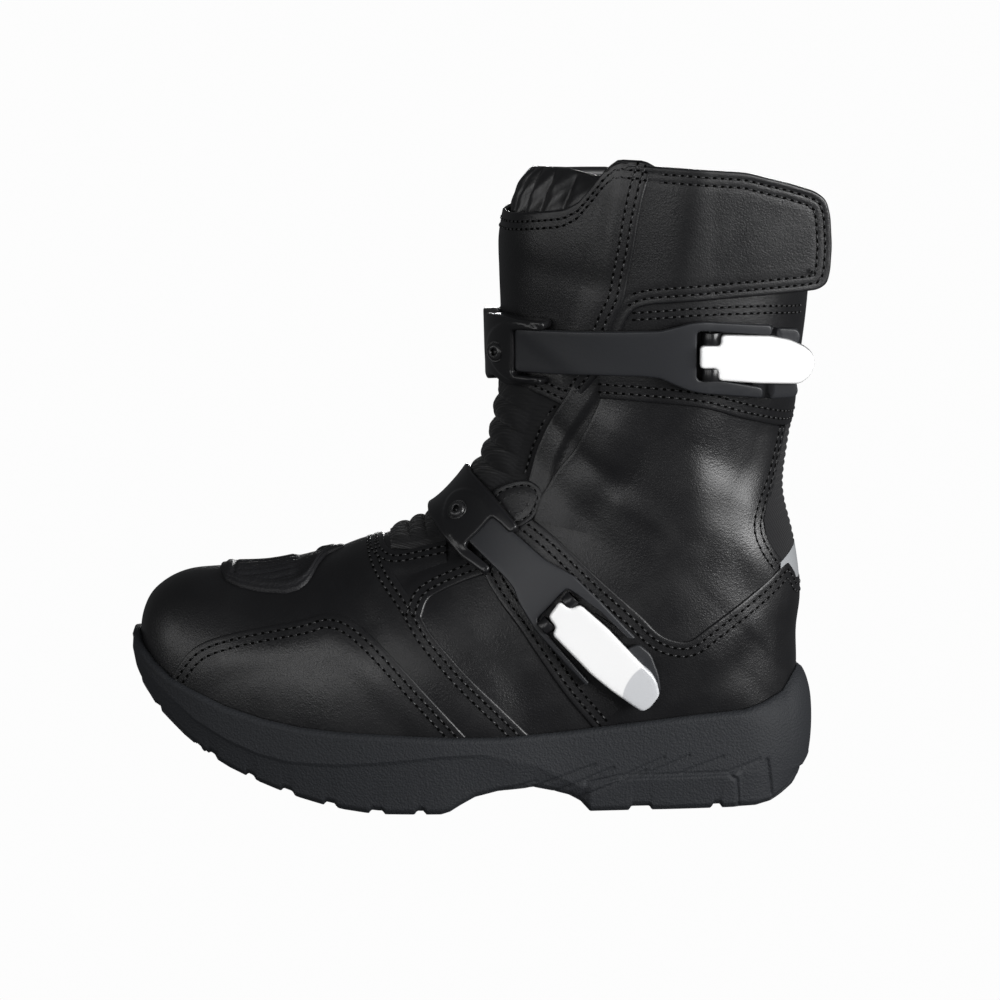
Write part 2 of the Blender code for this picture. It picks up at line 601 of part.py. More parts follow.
def side_y(tree, x, z, off):
    """Lateral y of a band lying off the upper, running on straight behind the shaft's turn."""
    def meet(px):
        top = float(np.interp(px, COLLAR_X, COLLAR_Z)) - 2.0
        place, normal = tree.ray_cast(Vector((px, -300.0, min(z, top))), Vector((0.0, 1.0, 0.0)))[:2]
        return place.y - off / max(abs(normal.y), 0.5)
    if x <= STRAIGHT_FROM:
        return meet(x)
    slope = (meet(STRAIGHT_FROM) - meet(STRAIGHT_FROM - 8.0)) / 8.0
    run = x - STRAIGHT_FROM
    return meet(STRAIGHT_FROM) + slope * run + STRAIGHT_BEND * run * run


def build_band(tree, name, xs, lows, tops, rows, off, thick, stuff):
    """A band on the lateral side: one column an x, from its low to its top edge."""
    inner, outer = [], []
    for share in np.linspace(0.0, 1.0, rows):
        line_in, line_out = [], []
        for x, low, top in zip(xs, lows, tops):
            z = low + (top - low) * share
            place = x if np.isscalar(x) else float(np.interp(z, x[1], x[0]))
            line_in.append((place, side_y(tree, place, z, off), z))
            line_out.append((place, side_y(tree, place, z, off + thick), z))
        inner.append(line_in)
        outer.append(line_out)
    return closed_shell(name, np.array(outer), np.array(inner), stuff)


# The collar strap: its columns behind the slanted front edge, low edge and top edge.
STRAP_X = (80.0, 88.0, 96.0, 104.0, 114.0, 124.0, 134.0, 143.0, 149.0, 152.0, 153.2)
STRAP_LOW = (220.3, 220.8, 221.2, 221.6, 222.0, 222.2, 222.4, 222.6, 223.0, 224.6, 229.0)
STRAP_TOP = (279.4, 278.6, 277.6, 276.6, 275.4, 273.2, 270.2, 268.0, 266.0, 263.6, 258.5)
STRAP_FRONT = ((61.8, 63.2, 65.4, 69.2, 74.2), (216.5, 221.0, 232.0, 254.0, 279.8))


def build_strap(tree):
    xs = [STRAP_FRONT] + list(STRAP_X)
    lows = [216.5] + list(STRAP_LOW)
    tops = [279.8] + list(STRAP_TOP)
    return build_band(tree, "collar_strap", xs, lows, tops, 5, 1.2, 2.2, LEATHER)


def build_fork_high(tree):
    xs = (20.4, 24.0, 28.0, 33.0, 39.0, 45.0, 52.0, 60.0, 69.0, 77.5, 84.0, 90.5, 97.0, 112.0, 126.0)
    lows = np.interp(xs, FORK_HIGH_X, FORK_HIGH_LOW)
    tops = np.interp(xs, FORK_HIGH_X, FORK_HIGH_TOP)
    thing = build_band(tree, "fork_high", xs, lows, tops, 2, 2.9, 3.2, PLASTIC)
    boolean(thing, box_cutter("slot", FORK_SLOT, -120.0, 20.0), "DIFFERENCE")
    return thing


def build_lever_high(tree):
    count = len(LEVER_HIGH)
    verts = [(x, side_y(tree, x, 195.0, 3.0), z) for x, z in LEVER_HIGH]
    verts += [(x, side_y(tree, x, 195.0, 9.0), z) for x, z in LEVER_HIGH]
    faces = [tuple(range(count)), tuple(range(count, 2 * count))]
    for i in range(count):
        j = (i + 1) % count
        faces.append((i, j, j + count, i + count))
    return add_object("lever_high", verts, faces, METAL)


def build_rod(name, start, end, radius, sides, stuff):
    """A short round rod between two points."""
    start, end = np.array(start, float), np.array(end, float)
    axis = (end - start) / np.linalg.norm(end - start)
    aside = np.cross(axis, np.array([0.31, 0.72, 0.62]))
    aside = aside / np.linalg.norm(aside)
    other = np.cross(axis, aside)
    verts = []
    for middle in (start, end):
        for k in range(sides):
            angle = 2.0 * math.pi * k / sides
            verts.append(tuple(middle + radius * (math.cos(angle) * aside + math.sin(angle) * other)))
    faces = [tuple(range(sides)), tuple(range(sides, 2 * sides))]
    for k in range(sides):
        j = (k + 1) % sides
        faces.append((k, j, j + sides, k + sides))
    return add_object(name, verts, faces, stuff)


ROLLER_R = 2.6


def build_rollers(tree):
    x = 99.4
    y = side_y(tree, x, 195.0, 5.6)
    build_rod("roller_high_top", (x, y, 201.4), (x, y, 206.2), ROLLER_R, 10, PLASTIC)
    build_rod("roller_high_low", (x, y, 186.6), (x, y, 190.0), ROLLER_R, 10, PLASTIC)
    middle = np.array([34.0, 0.0, 84.2])
    across = np.array([0.698, 0.0, 0.716])
    middle[1] = side_y(tree, middle[0], middle[2], 6.0)
    for name, near, far in (("roller_low_top", 5.7, 8.6), ("roller_low_low", -8.6, -5.7)):
        build_rod(name, middle + across * near, middle + across * far, ROLLER_R, 10, PLASTIC)


SCREW_R = 3.8


def build_screws():
    spots = (("screw_high", row_for_height(-0.105, 195.0), -0.105, 6.3), ("screw_low", 9.8, -0.235, 6.2))
    for name, u, t, off in spots:
        base = surface(u, t)
        out = normals(u, t)
        build_rod(name, base + out * (off + 0.35), base + out * (off + 1.7), SCREW_R, 14, METAL)


# Heights in the tables are as the photo shows them from 9 degrees above, which is short by this much.
TALLER = 1.02


def centre_all():
    """Bring the middle of the whole boot over the origin, its lugs on the ground, and undo the shortening."""
    points = np.array([v.co for thing in bpy.data.objects for v in thing.data.vertices])
    middle = 0.5 * (points.min(axis=0) + points.max(axis=0))
    middle[2] = points[:, 2].min()
    for thing in bpy.data.objects:
        thing.data.transform(Matrix.Diagonal((1.0, 1.0, TALLER, 1.0)) @ Matrix.Translation(-Vector(middle)))


clear_scene()
upper = build_upper()
upper_tree = solid_tree(upper)
build_outsole(upper_tree)
build_insole()
for row in PANELS:
    build_panel(*row)
build_gusset()
build_flex()
build_pad(upper_tree)
build_strap(upper_tree)
build_fork_high(upper_tree)
build_lever_high(upper_tree)
build_rollers(upper_tree)
build_screws()
centre_all()
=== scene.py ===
"""Looks of the left adventure boot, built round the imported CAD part. Sizes in mm until a mesh is made."""

import math

import bpy
import numpy as np
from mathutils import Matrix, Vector
from mathutils.bvhtree import BVHTree
from mathutils.geometry import delaunay_2d_cdt


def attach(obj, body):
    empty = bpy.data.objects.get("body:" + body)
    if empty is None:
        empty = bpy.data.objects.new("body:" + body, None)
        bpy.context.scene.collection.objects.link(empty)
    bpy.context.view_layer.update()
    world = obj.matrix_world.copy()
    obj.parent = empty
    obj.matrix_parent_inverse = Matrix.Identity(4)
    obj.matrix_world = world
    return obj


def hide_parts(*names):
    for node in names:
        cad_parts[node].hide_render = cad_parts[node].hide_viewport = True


MM = 0.001
TINY = 1e-9

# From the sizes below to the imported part, which is a little taller and stands on its box's middle.
SHIFT = np.array([0.614, 0.069, 0.0])
STRETCH = np.array([1.0, 1.0, 1.02])
UPRIGHT = np.array([0.0, 0.0, 1.0])
LEVEL = np.array([1.0, 1.0, 0.0])

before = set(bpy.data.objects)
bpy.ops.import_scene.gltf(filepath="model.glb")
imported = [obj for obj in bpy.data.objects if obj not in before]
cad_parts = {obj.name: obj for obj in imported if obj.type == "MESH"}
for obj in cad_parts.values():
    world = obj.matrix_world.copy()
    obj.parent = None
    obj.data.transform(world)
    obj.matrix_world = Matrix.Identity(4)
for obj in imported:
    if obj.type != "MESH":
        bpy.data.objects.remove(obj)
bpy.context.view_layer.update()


def ramp(value):
    return np.clip(value, 0.0, 1.0)


def smooth_ramp(value):
    share = ramp(value)
    return share * share * (3.0 - 2.0 * share)


def level(x, xs, values):
    return float(np.interp(x, xs, values))


def unit(vectors):
    return vectors / np.maximum(np.linalg.norm(vectors, axis=-1, keepdims=True), TINY)


def arrays(*values):
    """Values as arrays of one shape."""
    return np.broadcast_arrays(*(np.asarray(value, float) for value in values))


def run_along(line):
    """Distance along a line at each of its points."""
    return np.concatenate([[0.0], np.cumsum(np.linalg.norm(np.diff(line, axis=0), axis=1))])


def through(p0, p1, p2, p3, share):
    """A smooth curve between the middle two of four points."""
    bend = 2.0 * p0 - 5.0 * p1 + 4.0 * p2 - p3
    turn = -p0 + 3.0 * p1 - 3.0 * p2 + p3
    return 0.5 * (2.0 * p1 + (p2 - p0) * share + bend * share ** 2 + turn * share ** 3)


# One row a section of the upper: front point (x, z), back or bottom point (x, z), the middle line's y at
# both, outer and inner half width, cut and power of its outline.
SECTIONS = (
    (-150.5, 68.0, -150.5, 68.0, 10.0, 10.0, 0.0, 0.0, 0.60, 2.2),
    (-148.0, 82.0, -148.6, 62.0, 10.0, 10.0, 15.5, 15.5, 0.60, 2.2),
    (-141.0, 90.3, -142.2, 54.5, 9.6, 9.6, 27.0, 27.0, 0.60, 2.2),
    (-129.0, 95.8, -131.0, 47.5, 8.8, 9.0, 36.5, 36.0, 0.61, 2.2),
    (-112.0, 97.6, -115.0, 40.5, 7.5, 7.5, 43.5, 42.5, 0.61, 2.2),
    (-92.0, 98.8, -95.0, 34.8, 6.0, 5.2, 47.5, 46.5, 0.61, 2.2),
    (-70.0, 103.8, -71.0, 31.0, 5.0, 3.0, 50.5, 48.5, 0.62, 2.2),
    (-50.0, 110.0, -45.0, 29.5, 4.0, 0.5, 51.5, 49.0, 0.63, 2.15),
    (-32.0, 116.0, -18.0, 28.5, 3.5, -1.8, 50.5, 47.0, 0.66, 2.15),
    (-18.0, 123.0, 10.0, 28.0, 3.0, -2.5, 48.0, 44.0, 0.70, 2.1),
    (-7.5, 133.0, 36.0, 29.6, 2.5, -2.2, 45.5, 42.0, 0.75, 2.1),
    (0.5, 144.0, 62.0, 32.6, 2.0, -1.2, 44.5, 41.0, 0.78, 2.1),
    (5.5, 154.0, 88.0, 35.5, 2.0, -0.4, 44.0, 41.5, 0.81, 2.1),
    (8.3, 165.0, 117.0, 37.8, 2.0, 0.0, 43.5, 42.0, 0.875, 2.1),
    (9.3, 176.0, 131.5, 42.5, 2.0, 0.0, 43.5, 42.0, 0.953, 2.1),
    (9.3, 187.0, 138.6, 52.0, 2.0, 0.0, 43.5, 42.0, 1.0, 2.1),
    (9.0, 194.0, 138.9, 72.0, 2.0, 0.0, 43.5, 42.5, 1.0, 2.1),
    (8.8, 201.0, 139.6, 92.0, 2.0, 0.0, 43.8, 43.0, 1.0, 2.1),
    (8.6, 208.0, 137.0, 112.0, 2.0, 0.5, 44.3, 43.8, 1.0, 2.1),
    (8.4, 215.0, 132.2, 133.0, 2.0, 1.0, 45.3, 44.8, 1.0, 2.1),
    (8.1, 222.0, 133.8, 152.0, 2.0, 1.0, 46.6, 46.2, 1.0, 2.1),
    (7.8, 229.0, 137.3, 172.0, 2.0, 1.0, 48.4, 48.0, 1.0, 2.1),
    (7.6, 236.0, 140.4, 195.0, 2.0, 1.0, 50.3, 50.0, 1.0, 2.1),
    (7.8, 243.0, 143.0, 218.0, 2.0, 1.0, 51.8, 51.6, 1.0, 2.1),
    (9.0, 251.0, 144.6, 242.0, 2.0, 1.0, 53.0, 52.8, 1.0, 2.1),
    (11.5, 263.0, 145.4, 266.0, 2.0, 1.0, 53.8, 53.6, 1.0, 2.1),
    (15.0, 280.0, 146.0, 292.0, 2.0, 1.0, 54.2, 54.0, 1.0, 2.1),
)
HEEL_ROW = 15.0
LAST_ROW = len(SECTIONS) - 1.0
ROW_TOP, ROW_BACK, ROW_LOW, ROW_LAT, ROW_MED = 1, 2, 3, 6, 7

# Height of the collar edge along the shaft.
COLLAR_X = (5.0, 12.0, 36.0, 42.0, 48.0, 54.0, 59.0, 72.0, 90.0, 112.0, 128.0, 140.0, 147.0)
COLLAR_Z = (253.0, 253.5, 257.5, 261.0, 268.0, 276.0, 279.5, 279.0, 277.5, 273.0, 264.0, 258.5, 257.0)
COLLAR_INNER = 257.0
COLLAR_FROM = 19.0
COLLAR_TRIES = 90

# Steps of the slopes on the surface, and the places next to its ends.
STEP_U = 0.02
STEP_T = 0.004
END_U = 0.03
END_T = 0.995


def section_rows():
    """The sections, with one more past each end for the curves there."""
    table = [list(row) for row in SECTIONS]
    first = table[1]
    ghost = list(first)
    ghost[ROW_TOP] = 2.0 * first[ROW_LOW] - first[ROW_TOP]
    ghost[ROW_LAT] = -first[ROW_LAT]
    ghost[ROW_MED] = -first[ROW_MED]
    end = [2.0 * a - b for a, b in zip(table[-1], table[-2])]
    return np.array([ghost] + table + [end])


ROWS = section_rows()


def section_at(u):
    u = np.clip(np.asarray(u, float), 0.0, LAST_ROW)
    k = np.minimum(np.floor(u).astype(int), int(LAST_ROW) - 1)
    return through(ROWS[k], ROWS[k + 1], ROWS[k + 2], ROWS[k + 3], (u - k)[..., None])


def surface(u, t):
    """Points of the upper's outside: u counts sections, t runs from -1 lateral over the front to 1 medial."""
    u, t = arrays(u, t)
    row = section_at(u)
    fx, fz, bx, bz, mf, mb, lat, med, cut, pw = np.moveaxis(row, -1, 0)
    cut = np.where(u >= HEEL_ROW, 1.0, np.clip(cut, 0.5, 1.0))
    full = np.arccos(np.clip(-(2.0 * cut - 1.0) ** (pw / 2.0), -1.0, 1.0))
    angle = np.abs(t) * full
    cosine = np.cos(angle)
    along = 0.5 * (1.0 - np.sign(cosine) * np.abs(cosine) ** (2.0 / pw)) / cut
    across = np.abs(np.sin(angle)) ** (2.0 / pw)
    half = np.where(t < 0.0, -lat, med)
    x = fx + (bx - fx) * along
    z = fz + (bz - fz) * along
    y = mf + (mb - mf) * along + half * across
    return np.stack([x, y, z], axis=-1)


def normals(u, t):
    u, t = arrays(u, t)
    u = np.maximum(u, END_U)
    t = np.clip(t, -END_T, END_T)
    du = surface(u + STEP_U, t) - surface(u - STEP_U, t)
    dt = surface(u, t + STEP_T) - surface(u, t - STEP_T)
    return unit(np.cross(du, dt))


def skin(u, t, off):
    return surface(u, t) + normals(u, t) * np.asarray(off, float)[..., None]


def collar_u(t):
    """The section number where column t meets the collar edge."""
    tries = np.linspace(COLLAR_FROM, LAST_ROW, COLLAR_TRIES)
    points = surface(tries, np.full_like(tries, t))
    edge = np.interp(points[:, 0], COLLAR_X, COLLAR_Z)
    if t > 0.0:
        edge = np.minimum(edge, COLLAR_INNER)
    above = points[:, 2] - edge
    k = int(np.argmax(above > 0.0))
    share = -above[k - 1] / (above[k] - above[k - 1])
    return tries[k - 1] + share * (tries[k] - tries[k - 1])


# Camera: place and aim in mm, and the width seen at the aim.
CAM_AT = (9.0, -2668.0, 560.0)
CAM_AIM = (9.0, 0.0, 130.5)
CAM_WIDE = 440.0
SENSOR = 36.0
CLIP_END = 60.0


def add_object(name, data):
    thing = bpy.data.objects.new(name, data)
    bpy.context.scene.collection.objects.link(thing)
    return thing


def look_at(thing, at, aim):
    thing.location = at
    thing.rotation_euler = (aim - at).to_track_quat("-Z", "Y").to_euler()


def make_camera():
    data = bpy.data.cameras.new("camera")
    thing = add_object("camera", data)
    at = Vector(CAM_AT) * MM
    aim = Vector(CAM_AIM) * MM
    look_at(thing, at, aim)
    data.sensor_width = SENSOR
    data.lens = SENSOR * (aim - at).length / (CAM_WIDE * MM)
    data.clip_end = CLIP_END
    bpy.context.scene.camera = thing


# Lights: name, place and aim in metres, width, height, power.
BOOT_AIM = (0.0, 0.0, 0.13)
LIGHTS = (
    ("right_box", (2.05, -0.88, 0.55), BOOT_AIM, 0.9, 0.9, 32.0),
    ("front_right_box", (1.6, -1.6, 0.55), BOOT_AIM, 0.9, 0.9, 30.0),
    ("front_left_box", (-1.5, -1.65, 0.5), BOOT_AIM, 0.9, 0.9, 7.0),
    ("left_box", (-2.19, -0.59, 0.55), BOOT_AIM, 0.9, 0.9, 5.0),
    ("near_box", (-0.6, -2.3, 0.5), BOOT_AIM, 0.6, 0.9, 6.0),
    ("high_box", (1.2, -1.2, 1.7), BOOT_AIM, 0.9, 0.9, 6.0),
    ("back_box", (0.1, 2.2, 0.2), (0.0, 0.0, 0.15), 0.4, 0.25, 11.0),
)
WORLD_COLOUR = (0.9, 0.92, 0.95, 1.0)
WORLD_POWER = 0.08


def make_lights():
    for name, at, aim, wide, high, power in LIGHTS:
        data = bpy.data.lights.new(name, "AREA")
        data.shape = "RECTANGLE"
        data.size = wide
        data.size_y = high
        data.energy = power
        look_at(add_object(name, data), Vector(at), Vector(aim))
    world = bpy.data.worlds.new("world")
    world.use_nodes = True
    back = world.node_tree.nodes["Background"]
    back.inputs["Color"].default_value = WORLD_COLOUR
    back.inputs["Strength"].default_value = WORLD_POWER
    bpy.context.scene.world = world


def plain(name, colour, rough, spec=0.5, coat=0.0, coat_rough=0.2):
    """A Principled material and its nodes."""
    material = bpy.data.materials.new(name)
    material.use_nodes = True
    tree = material.node_tree
    node = tree.nodes["Principled BSDF"]
    node.inputs["Base Color"].default_value = (*colour, 1.0)
    node.inputs["Roughness"].default_value = rough
    node.inputs["Specular IOR Level"].default_value = spec
    node.inputs["Coat Weight"].default_value = coat
    node.inputs["Coat Roughness"].default_value = coat_rough
    return material, tree, node


def add_node(tree, kind, values=None, **fields):
    node = tree.nodes.new(kind)
    for key, value in fields.items():
        setattr(node, key, value)
    for key, value in (values or {}).items():
        node.inputs[key].default_value = value
    return node


def textured(name, colour, rough, layers, **gloss):
    """A Principled material with stacked bumps, its nodes and its last texture.

    A layer has its texture's kind, inputs and settings, and the bump's strength and depth in metres.
    """
    material, tree, node = plain(name, colour, rough, **gloss)
    place = add_node(tree, "ShaderNodeTexCoord")
    last = None
    for kind, inputs, fields, strength, depth in layers:
        texture = add_node(tree, "ShaderNodeTex" + kind, inputs, **fields)
        tree.links.new(place.outputs["Object"], texture.inputs["Vector"])
        bump = add_node(tree, "ShaderNodeBump", {"Strength": strength, "Distance": depth})
        height = texture.outputs["Distance" if kind == "Voronoi" else "Fac"]
        tree.links.new(height, bump.inputs["Height"])
        if last is not None:
            tree.links.new(last.outputs["Normal"], bump.inputs["Normal"])
        last = bump
    tree.links.new(last.outputs["Normal"], node.inputs["Normal"])
    return material, tree, node, texture


def leather_material(name, colour, rough, grain=1.0):
    """Fine cells and folds, with slow clouds that also vary the gloss."""
    material, tree, node, clouds = textured(name, colour, rough, (
        ("Voronoi", {"Scale": 860.0}, {"feature": "DISTANCE_TO_EDGE"}, 0.20 * grain, 0.0004),
        ("Noise", {"Scale": 760.0, "Detail": 4.0, "Roughness": 0.6}, {}, 0.20 * grain, 0.0005),
        ("Noise", {"Scale": 38.0, "Detail": 3.0, "Roughness": 0.55}, {}, 0.10, 0.0016),
    ))
    span = {"From Min": 0.3, "From Max": 0.7, "To Min": rough - 0.07, "To Max": rough + 0.09}
    gloss = add_node(tree, "ShaderNodeMapRange", span)
    tree.links.new(clouds.outputs["Fac"], gloss.inputs["Value"])
    tree.links.new(gloss.outputs["Result"], node.inputs["Roughness"])
    return material


def rubber_material(name, colour, rough):
    return textured(name, colour, rough, (
        ("Voronoi", {"Scale": 1150.0}, {"feature": "SMOOTH_F1"}, 0.5, 0.0005),
        ("Noise", {"Scale": 620.0, "Detail": 4.0}, {}, 0.25, 0.0004),
    ), spec=0.3)[0]


def fabric_material(name, colour):
    material, _, node, _ = textured(name, colour, 0.85, (
        ("Wave", {"Scale": 260.0, "Distortion": 0.2}, {"bands_direction": "DIAGONAL"}, 0.4, 0.0004),
        ("Wave", {"Scale": 200.0, "Distortion": 0.2}, {"bands_direction": "Z"}, 0.3, 0.0004),
    ), spec=0.2)
    node.inputs["Sheen Weight"].default_value = 0.12
    return material


def thread_material(name, colour, rough=0.42, spec=0.55):
    twist = ("Wave", {"Scale": 900.0, "Distortion": 1.0}, {"bands_direction": "DIAGONAL"}, 0.4, 0.0002)
    return textured(name, colour, rough, (twist,), spec=spec)[0]


def plastic_material(name, colour, rough):
    fine = ("Noise", {"Scale": 900.0, "Detail": 3.0}, {}, 0.12, 0.0002)
    return textured(name, colour, rough, (fine,), spec=0.45)[0]


# The lever's white and its tip's grey are painted reflection: plain colours in place of polished metal
# mirroring the bright studio, greyer at the tip.
LEVER_REFLECTION_WHITE = (0.97, 0.97, 0.97)
TIP_REFLECTION_GREY = (0.62, 0.63, 0.65)
TIP_BLUR = 0.0003


def lever_material(name, tip=None):
    """Polished lever whose white base colour is a painted reflection of the bright studio. Its tip, a disc of
    (x, z, radius) in metres, may be a shade greyer as a painted darker reflection.
    """
    fine = ("Noise", {"Scale": 500.0, "Detail": 2.0}, {}, 0.05, 0.0002)
    material, tree, node, _ = textured(name, LEVER_REFLECTION_WHITE, 0.2, (fine,), spec=0.6, coat=0.6, coat_rough=0.08)
    if tip is None:
        return material
    x, z, radius = tip
    place = add_node(tree, "ShaderNodeTexCoord")
    flat = add_node(tree, "ShaderNodeVectorMath", {1: (1.0, 0.0, 1.0)}, operation="MULTIPLY")
    away = add_node(tree, "ShaderNodeVectorMath", {1: (x, 0.0, z)}, operation="DISTANCE")
    edge = {"From Min": radius - TIP_BLUR, "From Max": radius + TIP_BLUR}
    shade = add_node(tree, "ShaderNodeMapRange", edge)
    blend = add_node(tree, "ShaderNodeMix", {6: (*TIP_REFLECTION_GREY, 1.0), 7: (*LEVER_REFLECTION_WHITE, 1.0)}, data_type="RGBA")
    tree.links.new(place.outputs["Object"], flat.inputs[0])
    tree.links.new(flat.outputs["Vector"], away.inputs[0])
    tree.links.new(away.outputs["Value"], shade.inputs["Value"])
    tree.links.new(shade.outputs["Result"], blend.inputs[0])
    tree.links.new(blend.outputs[2], node.inputs["Base Color"])
    return material


LEATHER = leather_material("leather", (0.0062, 0.0062, 0.0070), 0.35)
THREAD = thread_material("thread", (0.013, 0.013, 0.014))
# Near-black discs set at each stitch hole: painted shade where the hole sinks into the leather.
HOLE_SHADE = thread_material("puncture_shade", (0.001, 0.001, 0.001), 0.9, 0.05)
RUBBER = rubber_material("rubber", (0.017, 0.0185, 0.0215), 0.68)
PAD = rubber_material("pad_rubber", (0.012, 0.012, 0.0135), 0.55)
FABRIC = fabric_material("fabric", (0.012, 0.012, 0.013))
GUSSET_CLOTH = leather_material("gusset_cloth", (0.012, 0.012, 0.013), 0.36, 0.5)
LINING = fabric_material("lining", (0.02, 0.02, 0.021))
PLASTIC = plastic_material("strap_plastic", (0.021, 0.022, 0.025), 0.42)
GLOSSY = plastic_material("buckle_black", (0.010, 0.010, 0.011), 0.28)
LEVER = lever_material("lever")
# The lower lever's tip disc, at (x, z, radius) in metres, is painted darker reflection.
LEVER_TIPPED = lever_material("lever_tipped", (0.0808, 0.0495, 0.0189))
SCREW = plastic_material("screw", (0.016, 0.016, 0.017), 0.25)
REFLECT = plastic_material("reflector", (0.30, 0.31, 0.32), 0.45)


def finish_piece(thing, nodes=()):
    """Put a piece on the boot's one body and hide the solids it stands for."""
    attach(thing, "root")
    if nodes:
        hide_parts(*nodes)


def placed(points):
    return (np.asarray(points, float) * STRETCH + SHIFT) * MM


def turn_out(mesh, middle):
    """Flip a mesh whose faces look towards a middle point."""
    centre = Vector(placed(middle))
    if sum(face.area * face.normal.dot(face.center - centre) for face in mesh.polygons) < 0.0:
        mesh.flip_normals()


def add_mesh(name, verts, faces, material, middle=None):
    mesh = bpy.data.meshes.new(name)
    mesh.from_pydata(placed(verts).tolist(), [], faces)
    mesh.materials.append(material)
    mesh.polygons.foreach_set("use_smooth", [True] * len(mesh.polygons))
    mesh.update()
    if middle is not None:
        turn_out(mesh, middle)
    return add_object(name, mesh)


def grid_faces(rows, cols, base=0, close=False):
    faces = []
    for r in range(rows - 1):
        for c in range(cols if close else cols - 1):
            d = (c + 1) % cols
            faces.append((base + r * cols + c, base + r * cols + d,
                          base + (r + 1) * cols + d, base + (r + 1) * cols + c))
    return faces


def end_faces(rows, cols):
    """Caps over the first and last ring of a closed grid."""
    last = (rows - 1) * cols
    return [tuple(range(cols)), tuple(last + c for c in reversed(range(cols)))]


# A point inside the boot that its outer sheets look away from.
BOOT_MIDDLE = (60.0, 0.0, 110.0)


def add_sheet(name, grid, material, middle=BOOT_MIDDLE):
    return add_mesh(name, grid.reshape(-1, 3), grid_faces(*grid.shape[:2]), material, middle)


# The upper's own dense skin, and how far its edge drops under the strap.
ROWS_DENSE = 270
COLS_DENSE = 161
SKIN_START = 0.02
LINING_IN = 2.2
RIM_ROLL = 7
UNDER_STRAP = 0.2
UNDER_FROM = 70.0
UNDER_RUN = 10.0
UNDER_FADE = 0.1
SLOW_WAVE = 0.10
FINE_WAVE = 0.05

# Soft troughs and ridges: two ends in the side view, height, half width.
CREASES = (
    (66.0, 128.5, 77.0, 117.5, -0.6, 4.5),
    (60.0, 134.0, 74.0, 125.0, 0.6, 5.0),
    (78.0, 118.0, 92.0, 112.0, 0.5, 6.0),
    (44.0, 150.0, 62.0, 139.0, -0.7, 6.0),
    (84.0, 152.0, 112.0, 142.0, -0.15, 10.0),
    (98.0, 131.0, 122.0, 126.0, -0.2, 7.0),
    (57.0, 160.0, 60.0, 128.0, 0.5, 10.0),
    (80.0, 160.0, 82.0, 122.0, -0.4, 10.0),
    (94.0, 162.0, 95.0, 124.0, 0.8, 12.0),
    (122.0, 160.0, 118.0, 122.0, -0.8, 11.0),
    (96.0, 138.0, 120.0, 134.0, 0.3, 7.0),
    (-40.0, 92.0, -12.0, 62.0, -0.5, 7.0),
    (-58.0, 96.0, -50.0, 82.0, -0.5, 6.0),
    (70.0, 236.0, 120.0, 232.0, -0.4, 8.0),
    (16.0, 232.0, 56.0, 228.0, -0.5, 7.0),
    (-2.0, 76.0, 16.0, 54.0, -0.4, 6.0),
    (66.0, 66.0, 108.0, 56.0, -0.4, 8.0),
    (30.0, 168.0, 48.0, 150.0, -0.6, 5.0),
)


def segment_distance(px, pz, x0, z0, x1, z1):
    dx, dz = x1 - x0, z1 - z0
    share = ramp(((px - x0) * dx + (pz - z0) * dz) / (dx * dx + dz * dz))
    return np.hypot(px - x0 - share * dx, pz - z0 - share * dz)


def relief(points):
    """Height of the soft creases and of the slow waves in the leather."""
    x, y, z = np.moveaxis(points, -1, 0)
    high = SLOW_WAVE * np.sin(x / 11.0 + 0.7 * np.sin(z / 17.0)) * np.sin(z / 13.0 + y / 23.0)
    high = high + FINE_WAVE * np.sin(x / 6.1 + z / 9.3 + y / 14.0)
    for *ends, peak, wide in CREASES:
        high = high + peak * np.exp(-(segment_distance(x, z, *ends) / wide) ** 2)
    return high


def dense_params():
    t = np.linspace(-1.0, 1.0, COLS_DENSE)
    ends = np.array([collar_u(value) for value in t])
    behind = ramp((surface(ends, t)[:, 0] - UNDER_FROM) / UNDER_RUN)
    behind = behind * np.clip(1.0 + t, 0.0, UNDER_FADE) / UNDER_FADE
    ends = np.where(t < 0.0, ends - UNDER_STRAP * behind, ends)
    share = np.linspace(0.0, 1.0, ROWS_DENSE)[:, None]
    return SKIN_START + (ends[None, :] - SKIN_START) * share, np.tile(t, (ROWS_DENSE, 1))


GRID_U, GRID_T = dense_params()
GRID_BASE = surface(GRID_U, GRID_T)
GRID_OUT = normals(GRID_U, GRID_T)
GRID_SKIN = GRID_BASE + GRID_OUT * relief(GRID_BASE)[..., None]


def tree_of(grid):
    faces = grid_faces(grid.shape[0], grid.shape[1])
    return BVHTree.FromPolygons(grid.reshape(-1, 3).tolist(), faces)


SKIN_TREE = tree_of(GRID_SKIN)
BASE_TREE = tree_of(GRID_BASE)


def build_upper_skin():
    """Outside of the upper, rolled over the collar edge and down into the lining."""
    lining = GRID_BASE - GRID_OUT * LINING_IN
    inner = lining[-1]
    outer = GRID_SKIN[-1]
    middle = 0.5 * (inner + outer)
    half = 0.5 * np.linalg.norm(outer - inner, axis=-1)[:, None]
    away = (outer - inner) / (2.0 * half)
    rows = [GRID_SKIN]
    for angle in np.linspace(0.0, math.pi, RIM_ROLL)[1:]:
        lift = UPRIGHT * math.sin(angle) * half
        rows.append((middle + away * half * math.cos(angle) + lift)[None])
    finish_piece(add_sheet("upper_leather", np.concatenate(rows), LEATHER), ("upper",))
    inside = np.concatenate([lining[::3, ::2], lining[-1:, ::2]])
    thing = add_sheet("upper_lining", inside, LINING)
    thing.data.flip_normals()
    finish_piece(thing)


LINE_PARTS = 16
FAR_OFF = 300.0
PAST_MIDDLE = 6.0
SIDE_STEP = 3.0
SKIN_MIDDLE = np.array([60.0, 2.0, 110.0])


def even_steps(line, step):
    run = run_along(line)
    count = max(int(round(run[-1] / step)), 2)
    marks = np.linspace(0.0, run[-1], count + 1)
    return np.stack([np.interp(marks, run, line[:, k]) for k in range(line.shape[1])], axis=1)


